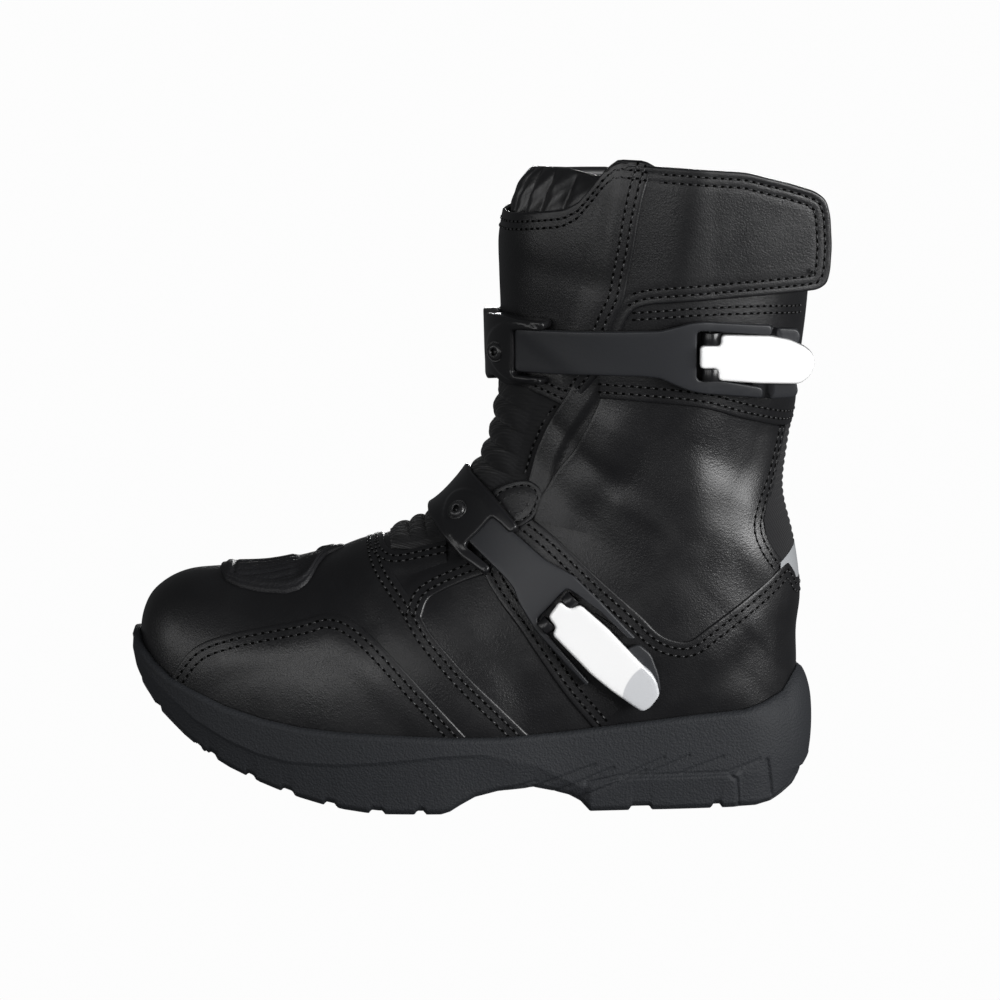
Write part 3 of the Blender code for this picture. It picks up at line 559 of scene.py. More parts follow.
def smooth_line(points, step):
    """An evenly stepped curve through a few given points."""
    pts = np.asarray(points, float)
    ends = np.concatenate([[2 * pts[0] - pts[1]], pts, [2 * pts[-1] - pts[-2]]])
    shares = np.linspace(0.0, 1.0, LINE_PARTS, endpoint=False)
    line = [through(*ends[k:k + 4], share) for k in range(len(pts) - 1) for share in shares]
    return even_steps(np.array(line + [pts[-1]]), step)


def on_side(line, side):
    """Where side-view points (x, z) meet the upper on one side, -1 lateral and 1 medial."""
    hits = []
    for x, z in line:
        hit = BASE_TREE.ray_cast(Vector((x, FAR_OFF * side, z)), Vector((0.0, -side, 0.0)))[0]
        if hit is not None and hit.y * side > -PAST_MIDDLE:
            hits.append(tuple(hit))
    return hits


def settle(points):
    """Nearest places on the skin, with its outward directions."""
    found = [SKIN_TREE.find_nearest(Vector(point))[:2] for point in points]
    places = np.array([tuple(place) for place, _ in found])
    outs = np.array([tuple(out) for _, out in found])
    flip = np.sign(np.sum(outs * (places - SKIN_MIDDLE), axis=1))
    return places, outs * np.where(flip == 0.0, 1.0, flip)[:, None]


def ease(values, rounds):
    for _ in range(rounds):
        inner = 0.25 * values[:-2] + 0.5 * values[1:-1] + 0.25 * values[2:]
        values = np.concatenate([values[:1], inner, values[-1:]])
    return values


# Cross profile of an overlaid leather edge: distance in from the edge and height over the upper.
EDGE_PROFILE = ((-0.8, -0.35), (-0.1, 0.0), (0.0, 0.5), (0.2, 0.84), (0.7, 0.96), (1.8, 0.94), (3.0, 0.88),
                (4.7, 0.92), (6.4, 0.88), (8.6, 0.9))
EDGE_HIGH = 0.9

# The run in which a seam grows to its lift, and the shin seam's own fade and lift.
GROW_RUN = 16.0
SHIN_FADE = 20.0
SHIN_LIFT = 2.5

# Stitches: rows in from the edge, pitch, length, radius, and half length and width of the flat black disc in
# a stitch hole, which is painted shade of the hole.
STITCH_IN = (3.0, 6.4)
STITCH_PITCH = 3.5
STITCH_LONG = 2.1
STITCH_R = 0.5
SHADE_DISC = (0.9, 0.58)
STITCH_SIDES = 6
STITCH_RINGS = ((-1.0, 0.35), (-0.72, 0.9), (0.72, 0.9), (1.0, 0.35))
STITCH_UP = 0.16
STITCH_DIP = 0.28
# Height of the discs of painted hole shade over a stitch row.
SHADE_DISC_UP = 0.15

# Steps along a seam, and the ribbon's height and rows where it fades out.
SEAM_STEP = 1.1
RIBBON_END = 0.04
RIBBON_ROWS = 9


def seam_frame(points, inward):
    """Places along a seam on the skin, and the directions into its overlay."""
    places, outs = settle(smooth_line(points, SEAM_STEP))
    outs = unit(ease(outs, 6))
    along = unit(ease(np.gradient(places, axis=0), 2))
    aside = np.cross(outs, along)
    near = int(np.argmin(np.linalg.norm(places - np.array(inward), axis=1)))
    if np.dot(aside[near], np.array(inward) - places[near]) < 0.0:
        aside = -aside
    return places, aside


def ribbon_height(wide, fade):
    """Height of an overlaid edge some way in from it, past its stitches."""
    flat = EDGE_PROFILE[-1][0]
    share = ramp((wide - flat) / (fade - flat))
    return RIBBON_END + (EDGE_HIGH - RIBBON_END) * 0.5 * (1.0 + np.cos(math.pi * share))


def grown(run, lift):
    """Scale of an edge's height: the first lift at the line's start, the second further on."""
    return lift[0] + (lift[1] - lift[0]) * np.sin(0.5 * math.pi * ramp(run / GROW_RUN)) ** 2


def build_seam(name, points, inward, fade, sewn, thread, lift):
    """An overlaid edge: a ribbon that fades into the upper, and two rows of stitches."""
    places, aside = seam_frame(points, inward)
    wides = np.linspace(EDGE_PROFILE[-1][0], fade, RIBBON_ROWS)[1:]
    profile = list(EDGE_PROFILE) + [(wide, ribbon_height(wide, fade)) for wide in wides]
    grow = grown(run_along(places), lift)[:, None]
    rows = []
    for wide, high in profile:
        spots, lifts = settle(places + aside * wide)
        lifts = ease(lifts, 2)
        rows.append(spots + lifts * high * grow)
        if sewn and wide in STITCH_IN:
            thread.append((rows[-1], lifts, 0.0))
    return add_sheet(name, np.array(rows), LEATHER)


def stitch_faces():
    """Faces of one stitch: its body, its two ends and last the flat black disc behind it, painted shade of
    its stitch hole.
    """
    sides, rings = STITCH_SIDES, len(STITCH_RINGS)
    faces = grid_faces(rings, sides, close=True)
    faces.append(tuple(reversed(range(sides))))
    faces.append(tuple((rings - 1) * sides + i for i in range(sides)))
    faces.append(tuple(rings * sides + i for i in range(sides)))
    return faces


STITCH_FACES = stitch_faces()


def stitch_mesh(rows):
    """Capsule stitches with flat black discs of painted hole shade between them along rows of (places, outs,
    height).
    """
    verts, faces = [], []
    turns = [2.0 * math.pi * i / STITCH_SIDES for i in range(STITCH_SIDES)]
    for places, outs, high in rows:
        line = even_steps(np.concatenate([places, outs], axis=1), STITCH_PITCH)
        for a, b in zip(line[:-1], line[1:]):
            along = unit(b[:3] - a[:3])
            out = unit(a[3:])
            aside = np.cross(out, along)
            middle = 0.5 * (a[:3] + b[:3])
            base = len(verts)
            for run, wide in STITCH_RINGS:
                up = high + STITCH_UP - STITCH_DIP * run * run
                spot = middle + along * run * STITCH_LONG / 2 + out * up
                for turn in turns:
                    verts.append(spot + STITCH_R * wide * (math.cos(turn) * aside + math.sin(turn) * out))
            for turn in turns:
                ring = SHADE_DISC[0] * math.cos(turn) * along + SHADE_DISC[1] * math.sin(turn) * aside
                verts.append(a[:3] + out * (high + SHADE_DISC_UP) + ring)
            faces.extend(tuple(base + v for v in face) for face in STITCH_FACES)
    return np.array(verts), faces


def sew(name, rows):
    """One piece of thread for rows of stitches, with flat black discs as painted shade in each stitch hole.
    """
    verts, faces = stitch_mesh(rows)
    thing = add_mesh(name, verts, faces, THREAD)
    thing.data.materials.append(HOLE_SHADE)
    span = len(STITCH_FACES)
    # The last face of each stitch is its disc of painted hole shade, in the second material.
    shade_faces = [1 if k % span == span - 1 else 0 for k in range(len(faces))]
    thing.data.polygons.foreach_set("material_index", shade_faces)
    finish_piece(thing)


# Seam lines in the side view (x, z), as sewn on each side.
WING = ((-136.5, 50.5), (-133.3, 58.1), (-124.4, 68.8), (-109.0, 75.0), (-78.5, 81.2), (-67.6, 84.2),
        (-56.7, 82.4), (-43.5, 72.7), (-21.9, 50.4), (-6.8, 34.0))
SECOND = ((21.0, 33.4), (8.4, 46.1), (-4.6, 58.6), (-13.2, 67.9), (-21.9, 77.9), (-28.5, 88.6), (-35.1, 96.9),
          (-40.5, 103.9), (-42.9, 109.3))
BAND = ((-26.0, 83.5), (-24.6, 87.8), (-22.9, 91.1), (-17.7, 94.2), (-9.0, 97.9), (-0.3, 101.0), (6.0, 103.0))
FOURTH = ((49.5, 35.5), (36.5, 51.4), (25.7, 66.7), (17.0, 79.4), (8.4, 90.6), (2.7, 99.5), (1.5, 104.0))
COUNTER = ((20.0, 126.5), (24.0, 124.0), (34.4, 116.0), (51.7, 100.2), (69.0, 85.2), (75.5, 78.6),
           (82.0, 74.6), (90.7, 73.6), (99.4, 79.4), (121.5, 95.0), (130.5, 102.0), (133.8, 103.6),
           (136.2, 100.0), (138.2, 96.0))
QUARTER = ((53.7, 182.3), (49.9, 173.0), (43.0, 158.9), (34.9, 147.7), (29.2, 138.8), (26.2, 134.0),
           (23.4, 125.0))
UNDER = ((51.7, 178.0), (69.0, 177.1), (95.0, 174.3), (112.6, 168.9), (130.8, 163.2), (135.0, 162.4))
BACK_EDGE = ((133.0, 162.5), (128.7, 141.0), (124.2, 123.0), (126.0, 114.0), (131.0, 105.5))
FLEX_SIDE = ((44.0, 190.0), (41.0, 185.0), (38.2, 180.0), (34.6, 174.0), (30.0, 166.5), (27.0, 159.5),
             (24.8, 154.0), (23.0, 148.0), (21.4, 142.0), (20.0, 137.0))
FLEX_BOTTOM = ((-14.8, 113.8), (-22.2, 111.8), (-30.9, 109.5), (-36.6, 108.3), (-39.8, 109.0), (-42.1, 110.9))
SHIN_BACK = ((73.4, 277.0), (71.3, 270.5), (69.6, 263.8), (67.5, 253.2), (65.8, 242.5), (63.7, 231.8),
             (61.7, 221.0), (57.8, 212.3), (55.3, 206.0), (52.6, 198.0))
SHIN_TIP = ((55.3, 207.1), (54.5, 201.4), (52.4, 193.9), (50.2, 187.8), (46.4, 182.4), (42.1, 177.0),
            (38.9, 174.5), (35.4, 174.2), (27.9, 177.2), (19.3, 180.1), (12.7, 181.9))

# Seams on both sides: name, line, a point on the overlaid side (x, z), how far the overlay fades in, whether
# it is sewn, whether the two sides join over the front or the back, the solids it stands for, and its lift.
PLAIN = (1.0, 1.0)
WING_NODES = ("toe_wing_lateral", "toe_wing_medial")
ANCHOR_NODES = ("anchor_panel_lateral", "anchor_panel_medial")
SHIN_GROW = (1.0, SHIN_LIFT)
SEAMS = (
    ("wing_edge", WING, (-85.0, 60.0), 22.0, True, False, WING_NODES, PLAIN),
    ("vamp_edge", SECOND, (-60.0, 70.0), 24.0, True, True, (), PLAIN),
    ("anchor_edge", BAND, (-14.0, 112.0), 15.0, True, False, ANCHOR_NODES, PLAIN),
    ("counter_front", FOURTH, (60.0, 70.0), 22.0, True, False, (), PLAIN),
    ("counter_top", COUNTER, (70.0, 50.0), 24.0, True, True, ("heel_counter",), PLAIN),
    ("quarter_front", QUARTER, (90.0, 150.0), 28.0, False, False, (), (0.3, 2.2)),
    ("flex_edge", FLEX_SIDE, (48.0, 160.0), 13.0, False, False, (), (0.3, 1.5)),
    ("shaft_low", UNDER, (90.0, 200.0), 20.0, True, True, (), PLAIN),
    ("quarter_back", BACK_EDGE, (90.0, 130.0), 22.0, True, False, (), PLAIN),
    ("flex_hem", FLEX_BOTTOM, (-40.0, 90.0), 15.0, True, True, (), PLAIN),
    ("shin_back", SHIN_BACK, (30.0, 230.0), SHIN_FADE, True, False, (), SHIN_GROW),
    ("shin_tip", SHIN_TIP, (32.0, 200.0), 18.0, True, True, ("shin_flap",), PLAIN),
)
SIDES = (("lateral", -1.0), ("medial", 1.0))


def build_seams():
    thread = []
    for name, line, toward, fade, sewn, joined, nodes, lift in SEAMS:
        lines = [on_side(smooth_line(line, SIDE_STEP), side) for _, side in SIDES]
        names = [name + "_" + side_name for side_name, _ in SIDES]
        if joined:
            lines = [lines[0] + lines[1][::-1]]
            names = [name]
        for own_name, points, (side_name, side) in zip(names, lines, SIDES):
            inward = on_side([toward], side)[0]
            thing = build_seam(own_name, points, inward, fade, sewn, thread, lift)
            own = nodes if joined else [node for node in nodes if node.endswith(side_name)]
            finish_piece(thing, tuple(own))
    sew("upper_stitches", thread)


# Along the sole, as in the solids: heights of the feather edge, the side ledge and the underside, and how far
# the lower step and the wall stand out.
RIM_X = (-151, -148.7, -143, -135.5, -126.7, -111, -95, -79, -63, -41, -13, 8, 35, 70, 92, 114, 123,
         131.6, 138.6)
RIM_Z = (73, 67, 60.5, 55, 51, 44.5, 40, 37, 35.5, 34.5, 33.3, 33, 34.6, 38.2, 40.5, 42, 44.5, 48, 56.5)
LEDGE_X = (-154, -140, -125, -110, -97, -83, -62, -36, -18, 0, 25, 44, 52, 60, 110, 116, 135)
LEDGE_Z = (64, 50, 38, 30, 25, 22, 21.5, 23.5, 25.5, 26, 21, 11, 13, 15, 15.3, 15.3, 15.3)
STEP_X = (-140, -118, -60, -10, 15, 44, 47, 110, 113, 140)
STEP_OUT = (0.0, -0.9, -0.9, -0.9, 0.0, 0.0, 1.2, 1.2, 0.0, 0.0)
BOTTOM_X = (-155, -150.5, -141, -130, -121, -110, -100, -90, -80, -70, -60, -50, -45, -17, -13, -8, -2, 8,
            24, 32, 39, 44, 48, 122, 127, 132, 137, 141, 146)
BOTTOM_Z = (56, 50, 39.5, 30, 23.5, 17.5, 13.2, 9.6, 6.4, 3.8, 1.8, 0.5, 0, 0, 1.2, 4.2, 7.4, 9.8,
            11.0, 9.2, 7.2, 4.4, 0, 0, 0.9, 3.0, 6.2, 10.8, 16.0)
WIDE_X = (-152, -120, -60, 20, 90, 122, 139)
WIDE_OUT = (3.6, 4.2, 4.6, 4.6, 4.8, 5.2, 6.6)

# Lug grooves: middle along the sole, width, depth.
GROOVES = (
    (-118.0, 4.5, 3.0),
    (-101.0, 4.5, 3.0),
    (-85.0, 5.0, 3.0),
    (-66.0, 5.0, 3.0),
    (-45.5, 6.0, 3.0),
    (-26.3, 4.0, 3.0),
    (70.0, 9.0, 3.2),
    (103.5, 4.0, 3.2),
)

# The gap to the upper, the sole's ends, how finely it is built, and the share of a groove that shows.
GAP = 0.3
SOLE_ENDS = (-149.9, 138.45)
SOLE_COUNT = 620
SIDE_ROWS = 32
FOOT_ROWS = 20
TOE_TRIES = 3000
NOTCH_SHARE = 0.55
NOTCH_SLOPE = 1.6
BOTTOM_COLS = 36
BOTTOM_BLEND = 1.5
SOLE_MIDDLE = (0.0, 0.0, 22.0)

# The heel's wall: where it starts, how long it takes, its tuck and bulge.
HEEL_FROM = 112.0
HEEL_RUN = 22.0
HEEL_TUCK = 1.6
HEEL_BULGE = 1.2

# The cup's lip: least height over the upper's edge, depth inside, how far the rim stands out and draws back
# at the heel, and its rounded top.
LIP_OVER = 2.0
LIP_IN = 1.5
LIP_OFF = 0.1
RIM_OUT = 3.0
RIM_OUT_HEEL = 2.0
RIM_DROP = 0.1
RIM_RISE = 0.25
RIM_ROUND = 0.7
RIM_ROWS = 5
RAY_OUT = 30.0

# The wall from the rim to the ledge: its top, its share of the width there and what it gains, the ledge's
# half height, least height over the underside and least drop, and how the heel falls away (depth, power).
WALL_TOP = 1.8
WALL_SHARE = 0.93
WALL_GAIN = 0.07
LEDGE_HALF = 0.5
LEDGE_OVER = 3.5
LEDGE_UNDER = 5.0
HEEL_FALL = ((3.4, 6), (0.8, 2))

# Below the ledge: height of the foot's edge, how far the foot draws in, and its rounded corner (drop, back).
FOOT_EDGE = 2.2
FOOT_IN = 0.14
FOOT_BACK = 0.8
FOOT_SHARE = 0.83
FOOT_CORNER = ((0.75, 0.35), (0.3, 0.9), (0.0, 1.9))

# Tread under the sole: the middle channel and slanted cuts.
TREAD_MID = 2.0
CHANNEL = (2.5, 3.5)
SLANT_PITCH = 24.0
SLANT_DEEP = 1.8
SLANT_HALF = 2.2
SLANT_EDGE = 0.9

# Grooves in the sole's side: two ends in the side view, depth, half width.
SIDE_CUTS = (
    (10.0, 10.5, 24.0, 14.0, 0.6, 0.55),
    (19.0, 9.8, 50.0, 20.5, 0.8, 0.55),
    (32.0, 8.8, 58.0, 19.0, 0.8, 0.55),
    (42.0, 6.0, 72.0, 17.6, 0.8, 0.55),
    (64.0, 16.2, 80.0, 23.0, 0.7, 0.5),
    (74.0, 16.6, 91.0, 23.5, 0.7, 0.5),
    (88.0, 16.4, 106.0, 22.5, 0.7, 0.5),
    (108.0, 15.8, 122.0, 20.5, 0.7, 0.5),
    (125.5, 20.0, 127.5, 4.5, 0.9, 0.9),
    (46.0, 12.6, 60.0, 14.9, 0.9, 0.8),
    (60.0, 14.9, 108.0, 15.4, 0.9, 0.8),
    (108.0, 15.4, 112.0, 12.4, 0.9, 0.8),
    (112.0, 12.4, 112.8, 1.0, 0.9, 0.8),
)


def edge_points(u, side):
    return surface(u, side), unit(normals(u, side) * LEVEL)


def notch(x):
    """How far the lug grooves lift the underside at x."""
    lift = np.zeros_like(np.asarray(x, float))
    for middle, width, deep in GROOVES:
        away = (width / 2.0 - np.abs(x - middle)) / NOTCH_SLOPE + 0.5
        lift = np.maximum(lift, NOTCH_SHARE * deep * smooth_ramp(away))
    return lift


def sole_stations():
    """Section numbers along the sole, closer at its ends."""
    turn = np.linspace(0.0, math.pi, SOLE_COUNT)
    middle = 0.5 * (SOLE_ENDS[0] + SOLE_ENDS[1])
    half = 0.5 * (SOLE_ENDS[1] - SOLE_ENDS[0])
    us = np.linspace(0.0, HEEL_ROW, TOE_TRIES)
    return np.interp(middle - half * np.cos(turn), section_at(us)[:, ROW_BACK], us)


def side_column(edge, flat):
    """Points down the sole's side at one place round the upper, from the cup's lip to the underside."""
    def out(push, z):
        return np.array([*(edge + flat * (GAP + push))[:2], z])

    x = edge[0]
    lip_z = max(level(x, RIM_X, RIM_Z), edge[2] + LIP_OVER)
    start = Vector((*(edge + flat * RAY_OUT)[:2], lip_z))
    hit = BASE_TREE.ray_cast(start, Vector((-flat[0], -flat[1], 0.0)))[0]
    lip = np.array(hit) if hit is not None else edge
    wide = level(x, WIDE_X, WIDE_OUT)
    step = level(x, STEP_X, STEP_OUT)
    heel = float(ramp((x - HEEL_FROM) / HEEL_RUN))
    rim_out = RIM_OUT - RIM_OUT_HEEL * heel
    far_x = x + flat[0] * (GAP + wide)
    low = level(far_x, BOTTOM_X, BOTTOM_Z)
    ledge = np.interp(far_x, LEDGE_X, LEDGE_Z)
    ledge = float(np.clip(ledge, low + LEDGE_OVER, lip_z - LEDGE_UNDER))
    low += float(notch(far_x))
    foot = max(low + FOOT_EDGE, 0.0)
    rim = out(rim_out, lip_z - RIM_DROP)
    lip_edge = lip + flat * LIP_OFF
    column = [lip_edge - np.array([0.0, 0.0, LIP_IN]), lip_edge]
    column.append(np.array([*(0.5 * (lip[:2] + rim[:2])), lip_z + RIM_RISE]))
    column.append(rim)
    column.append(out(rim_out + RIM_ROUND, lip_z - RIM_ROUND))
    for share in np.linspace(0.0, 1.0, SIDE_ROWS):
        z = (lip_z - WALL_TOP) * (1 - share) + (ledge + LEDGE_HALF) * share
        fall = sum(deep * (1.0 - share) ** power for deep, power in HEEL_FALL) + HEEL_TUCK * share ** 4
        column.append(out(wide * (WALL_SHARE + WALL_GAIN * share) + heel * (HEEL_BULGE - fall), z))
    shift = step - (HEEL_TUCK - HEEL_BULGE) * heel
    for share in np.linspace(0.0, 1.0, FOOT_ROWS):
        z = (ledge - LEDGE_HALF) * (1 - share) + min(foot, ledge - 2.0 * LEDGE_HALF) * share
        column.append(out(wide * (1.0 - FOOT_IN * share) - FOOT_BACK * share + shift, z))
    for drop, back in FOOT_CORNER:
        column.append(out(wide * FOOT_SHARE - FOOT_BACK - back + shift, low + (foot - low) * drop))
    return np.array(column)


def side_relief(points):
    """Depth of the grooves moulded in the sole's side."""
    deep = np.zeros(points.shape[:-1])
    for *ends, cut, wide in SIDE_CUTS:
        away = segment_distance(points[..., 0], points[..., 2], *ends)
        deep = np.maximum(deep, cut * np.exp(-(away / wide) ** 4))
    return deep


def tread(x, y):
    """Lift of the underside's pattern: cross grooves, a middle channel and slanted cuts."""
    aside = y - TREAD_MID
    channel = CHANNEL[0] * np.exp(-(aside / CHANNEL[1]) ** 4)
    slant = np.abs(((x + 0.5 * np.abs(aside)) % SLANT_PITCH) - SLANT_PITCH / 2.0)
    return np.maximum(np.maximum(notch(x), channel), SLANT_DEEP * ramp((SLANT_HALF - slant) / SLANT_EDGE))


def sole_loop():
    """Columns of the sole's side, once round from the toe."""
    sides = []
    for _, side in SIDES:
        edges = [edge_points(u, side) for u in sole_stations()]
        columns = np.array([side_column(edge, flat) for edge, flat in edges])
        cut = side_relief(columns)
        cut[:, :RIM_ROWS] = 0.0
        flats = np.array([flat for _, flat in edges])
        sides.append(columns - flats[:, None, :] * cut[..., None])
    return np.concatenate([sides[0], sides[1][-2:0:-1]])


def build_sole():
    loop = sole_loop()
    count, depth = loop.shape[:2]
    faces = []
    for i in range(count):
        a, b = i * depth, (i + 1) % count * depth
        faces.extend((a + k, b + k, b + k + 1, a + k + 1) for k in range(depth - 1))
    verts = list(loop.reshape(-1, 3))
    grid = []
    for i in range(1, SOLE_COUNT - 1):
        a = i * depth + depth - 1
        b = (count - i) * depth + depth - 1
        row = [a]
        left, right = verts[a], verts[b]
        for share in np.linspace(0.0, 1.0, BOTTOM_COLS)[1:-1]:
            x, y, flush = left + (right - left) * share
            inner = min(share, 1.0 - share) * np.linalg.norm(right - left)
            lift = level(x, BOTTOM_X, BOTTOM_Z) + float(tread(x, y))
            mix = min(inner / BOTTOM_BLEND, 1.0)
            row.append(len(verts))
            verts.append(np.array([x, y, flush * (1 - mix) + lift * mix]))
        grid.append(row + [b])
    for near, far in zip(grid[:-1], grid[1:]):
        faces.extend((near[c], near[c + 1], far[c + 1], far[c]) for c in range(BOTTOM_COLS - 1))
    toe = depth - 1
    heel = (SOLE_COUNT - 1) * depth + depth - 1
    faces.append(tuple([toe] + grid[0]))
    faces.append(tuple([heel] + grid[-1][::-1]))
    thing = add_mesh("sole_rubber", np.array(verts), faces, RUBBER, SOLE_MIDDLE)
    finish_piece(thing, ("outsole",))


# The bellows: low ribs across the instep by section, high ribs up the ankle by a slanted height, side edges,
# and the shin flap's edge over them.
RIB_LOW = (7.60, 8.06, 8.52, 9.2, 9.9, 10.6)
RIB_HIGH = (134.0, 144.3, 154.0, 164.3, 174.8, 185.6, 196.0)
RIB_SLANT = 0.3
RIB_FRONT = 6.0
FLEX_EDGE_U = (7.6, 8.0, 9.0, 10.4, 12.1, 12.9, 13.5, 14.1, 15.0, 16.1, 17.2)
FLEX_EDGE_T = (0.200, 0.245, 0.290, 0.300, 0.335, 0.305, 0.288, 0.285, 0.272, 0.302, 0.330)
FLAP_X, FLAP_Z = np.array(SHIN_TIP[:4:-1]).T
RIB_PEAK = 3.4
RIB_PEAK_LOW = 2.7
RIB_FOOT = 1.0
RIB_ROUND = 0.62

# How finely the bellows are built, their low edge, and how they fade at the sides and under the flap.
FLEX_ROWS = 320
FLEX_COLS = 91
FLEX_LOW = 0.2
FLEX_WRINKLE = 0.15
FLEX_UNDER = 0.6
FLEX_FLAT = 0.8
FLEX_FADE = 0.2
FLEX_SOFT = 0.8
UNDER_FLAP = 3.0
FLAP_RUN = 2.5

# The ribs get lower under the shin flap: by how much, from what height and over how long a run.
RIB_DROP, RIB_DROP_FROM, RIB_DROP_RUN = 1.8, 172.0, 6.0


def rib_height(value, valleys, peak):
    """Rounded ribs between valleys."""
    k = np.clip(np.searchsorted(valleys, value, side="right") - 1, 0, len(valleys) - 2)
    low = np.take(valleys, k)
    phase = ramp((value - low) / (np.take(valleys, k + 1) - low))
    return RIB_FOOT + (peak - RIB_FOOT) * np.abs(np.sin(math.pi * phase)) ** RIB_ROUND


def build_flex():
    share = np.linspace(-1.0, 1.0, FLEX_COLS)[None, :]
    u = np.linspace(RIB_LOW[0] - 0.05, FLEX_EDGE_U[-1], FLEX_ROWS)[:, None] + 0.0 * share
    t = np.interp(u, FLEX_EDGE_U, FLEX_EDGE_T) * share
    base = surface(u, t)
    slanted = base[..., 2] + RIB_SLANT * (base[..., 0] - RIB_FRONT)
    peak = RIB_PEAK - RIB_DROP * ramp((slanted - RIB_DROP_FROM) / RIB_DROP_RUN)
    low_ribs = rib_height(u, RIB_LOW, RIB_PEAK_LOW)
    ribs = np.where(u < RIB_LOW[-1], low_ribs, rib_height(slanted, RIB_HIGH, peak))
    side = ramp((FLEX_FLAT - np.abs(share)) / FLEX_FADE)
    high = FLEX_LOW + (ribs - FLEX_LOW) * np.sin(0.5 * math.pi * side) ** FLEX_SOFT
    high = high + FLEX_WRINKLE * np.sin(37.0 * share + 9.0 * u) * side
    flap = np.interp(base[..., 0], FLAP_X, FLAP_Z)
    under = ramp((flap + UNDER_FLAP - base[..., 2]) / FLAP_RUN)
    top = skin(u, t, (high + FLEX_UNDER) * under - FLEX_UNDER)
    finish_piece(add_sheet("flex_ribs", top, FABRIC), ("flex_panel",))


# The search for a height on the shaft: its start, lowest section, step, least slope and rounds.
CLIMB_FROM = 20.0
CLIMB_LEAST = 12.0
CLIMB_STEP = 0.01
CLIMB_SLOPE = 4.0
CLIMB_ROUNDS = 14


def at_height(t, z):
    """Section numbers where columns t reach heights z on the shaft."""
    t, z = arrays(t, z)
    u = np.full(t.shape, CLIMB_FROM)
    for _ in range(CLIMB_ROUNDS):
        here = surface(u, t)[..., 2]
        slope = (surface(u + CLIMB_STEP, t)[..., 2] - here) / CLIMB_STEP
        u = np.clip(u + (z - here) / np.maximum(slope, CLIMB_SLOPE), CLIMB_LEAST, LAST_ROW)
    return u


# The gusset's padded profile: height, and how far inside the upper's outside.
GUSSET = ((238.0, 3.0), (251.0, 3.0), (259.0, 3.8), (266.0, 5.6), (271.0, 8.6), (273.5, 12.0),
          (271.0, 15.8), (262.0, 13.5), (250.0, 10.0), (238.0, 8.0))
# Columns of the gusset from the outer side over the front to the inner side, and how far each lifts its top.
GUSSET_T = np.arange(-5, 6) / 8.0
GUSSET_LIFT = (-8.0, -4.0, -0.5, 2.5, 2.0, 0.5, -1.5, -3.2, -4.0, -9.0, -13.0)

# Pleats along the collar, and how the gusset sinks, ends and follows the shaft between two heights.
PLEATS = 46.0
PLEAT_DEEP = 3.6
WRINKLE = 0.35
GUSSET_SINK = 1.4
GUSSET_END = 16.0
GUSSET_LOW = 240.0
GUSSET_HIGH = 252.0

# Its reach in columns, how finely it is built, and its thickness.
GUSSET_WIDE = 0.625
GUSSET_COUNT = 420
GUSSET_SKIN = 3.0
GUSSET_THIN = 0.95
GUSSET_STEP = 1.2
END_FROM = 0.5

# Its pleats sway and lean, show on the outer face only, and carry two crossing waves of small wrinkles, each
# by column, height and level.
SWAY, SWAY_WAVE = 0.5, 11.0
LEAN, LEAN_LEVEL = 0.035, 258.0
PUFF_FLOOR, PUFF_POWER = 0.01, 0.35
FACE_IN, FACE_RUN = 11.0, 5.0
PLEAT_FROM, PLEAT_RUN = 242.0, 10.0
WRINKLE_WAVES = ((95.0, 0.3, 250.0), (30.0, 0.5, 244.0))
GUSSET_MIDDLE = (26.0, 2.0, 255.0)


def build_gusset():
    profile = np.array(GUSSET)
    ring = smooth_line(np.concatenate([profile, profile[:1]]), GUSSET_STEP)[:-1]
    t = np.linspace(-GUSSET_WIDE, GUSSET_WIDE, GUSSET_COUNT)[:, None]
    z = ring[None, :, 0] + 0.0 * t
    inside = GUSSET_SKIN + (ring[None, :, 1] + 0.0 * t - GUSSET_SKIN) * GUSSET_THIN
    sway = SWAY * np.sin(SWAY_WAVE * t) + LEAN * (z - LEAN_LEVEL)
    puff = (np.sin(PLEATS * t + sway) ** 2 + PUFF_FLOOR) ** PUFF_POWER
    outer = ramp((FACE_IN - inside) / FACE_RUN) * ramp((z - PLEAT_FROM) / PLEAT_RUN)
    wrinkle = 1.0
    for along, upward, middle in WRINKLE_WAVES:
        wrinkle = wrinkle * np.sin(along * t + upward * (z - middle))
    inside = inside + ((1.0 - puff) * PLEAT_DEEP + WRINKLE * wrinkle) * outer
    foot = profile[0, 0]
    lift = np.interp(t, GUSSET_T, GUSSET_LIFT) - GUSSET_SINK
    lift = lift - GUSSET_END * ramp((np.abs(t) - END_FROM) / (GUSSET_WIDE - END_FROM)) ** 2
    z = z + lift * (z - foot) / (profile[:, 0].max() - foot)
    low = at_height(t, GUSSET_LOW)
    base = surface(low, t)
    lean = (surface(at_height(t, GUSSET_HIGH), t) - base) / (GUSSET_HIGH - GUSSET_LOW)
    flat = unit(normals(low, t) * LEVEL)
    points = base + lean * (z - GUSSET_LOW)[..., None] - flat * inside[..., None]
    shape = points.shape[:2]
    faces = grid_faces(*shape, close=True) + end_faces(*shape)
    thing = add_mesh("collar_padding", points.reshape(-1, 3), faces, GUSSET_CLOTH, GUSSET_MIDDLE)
    finish_piece(thing, ("collar_gusset",))


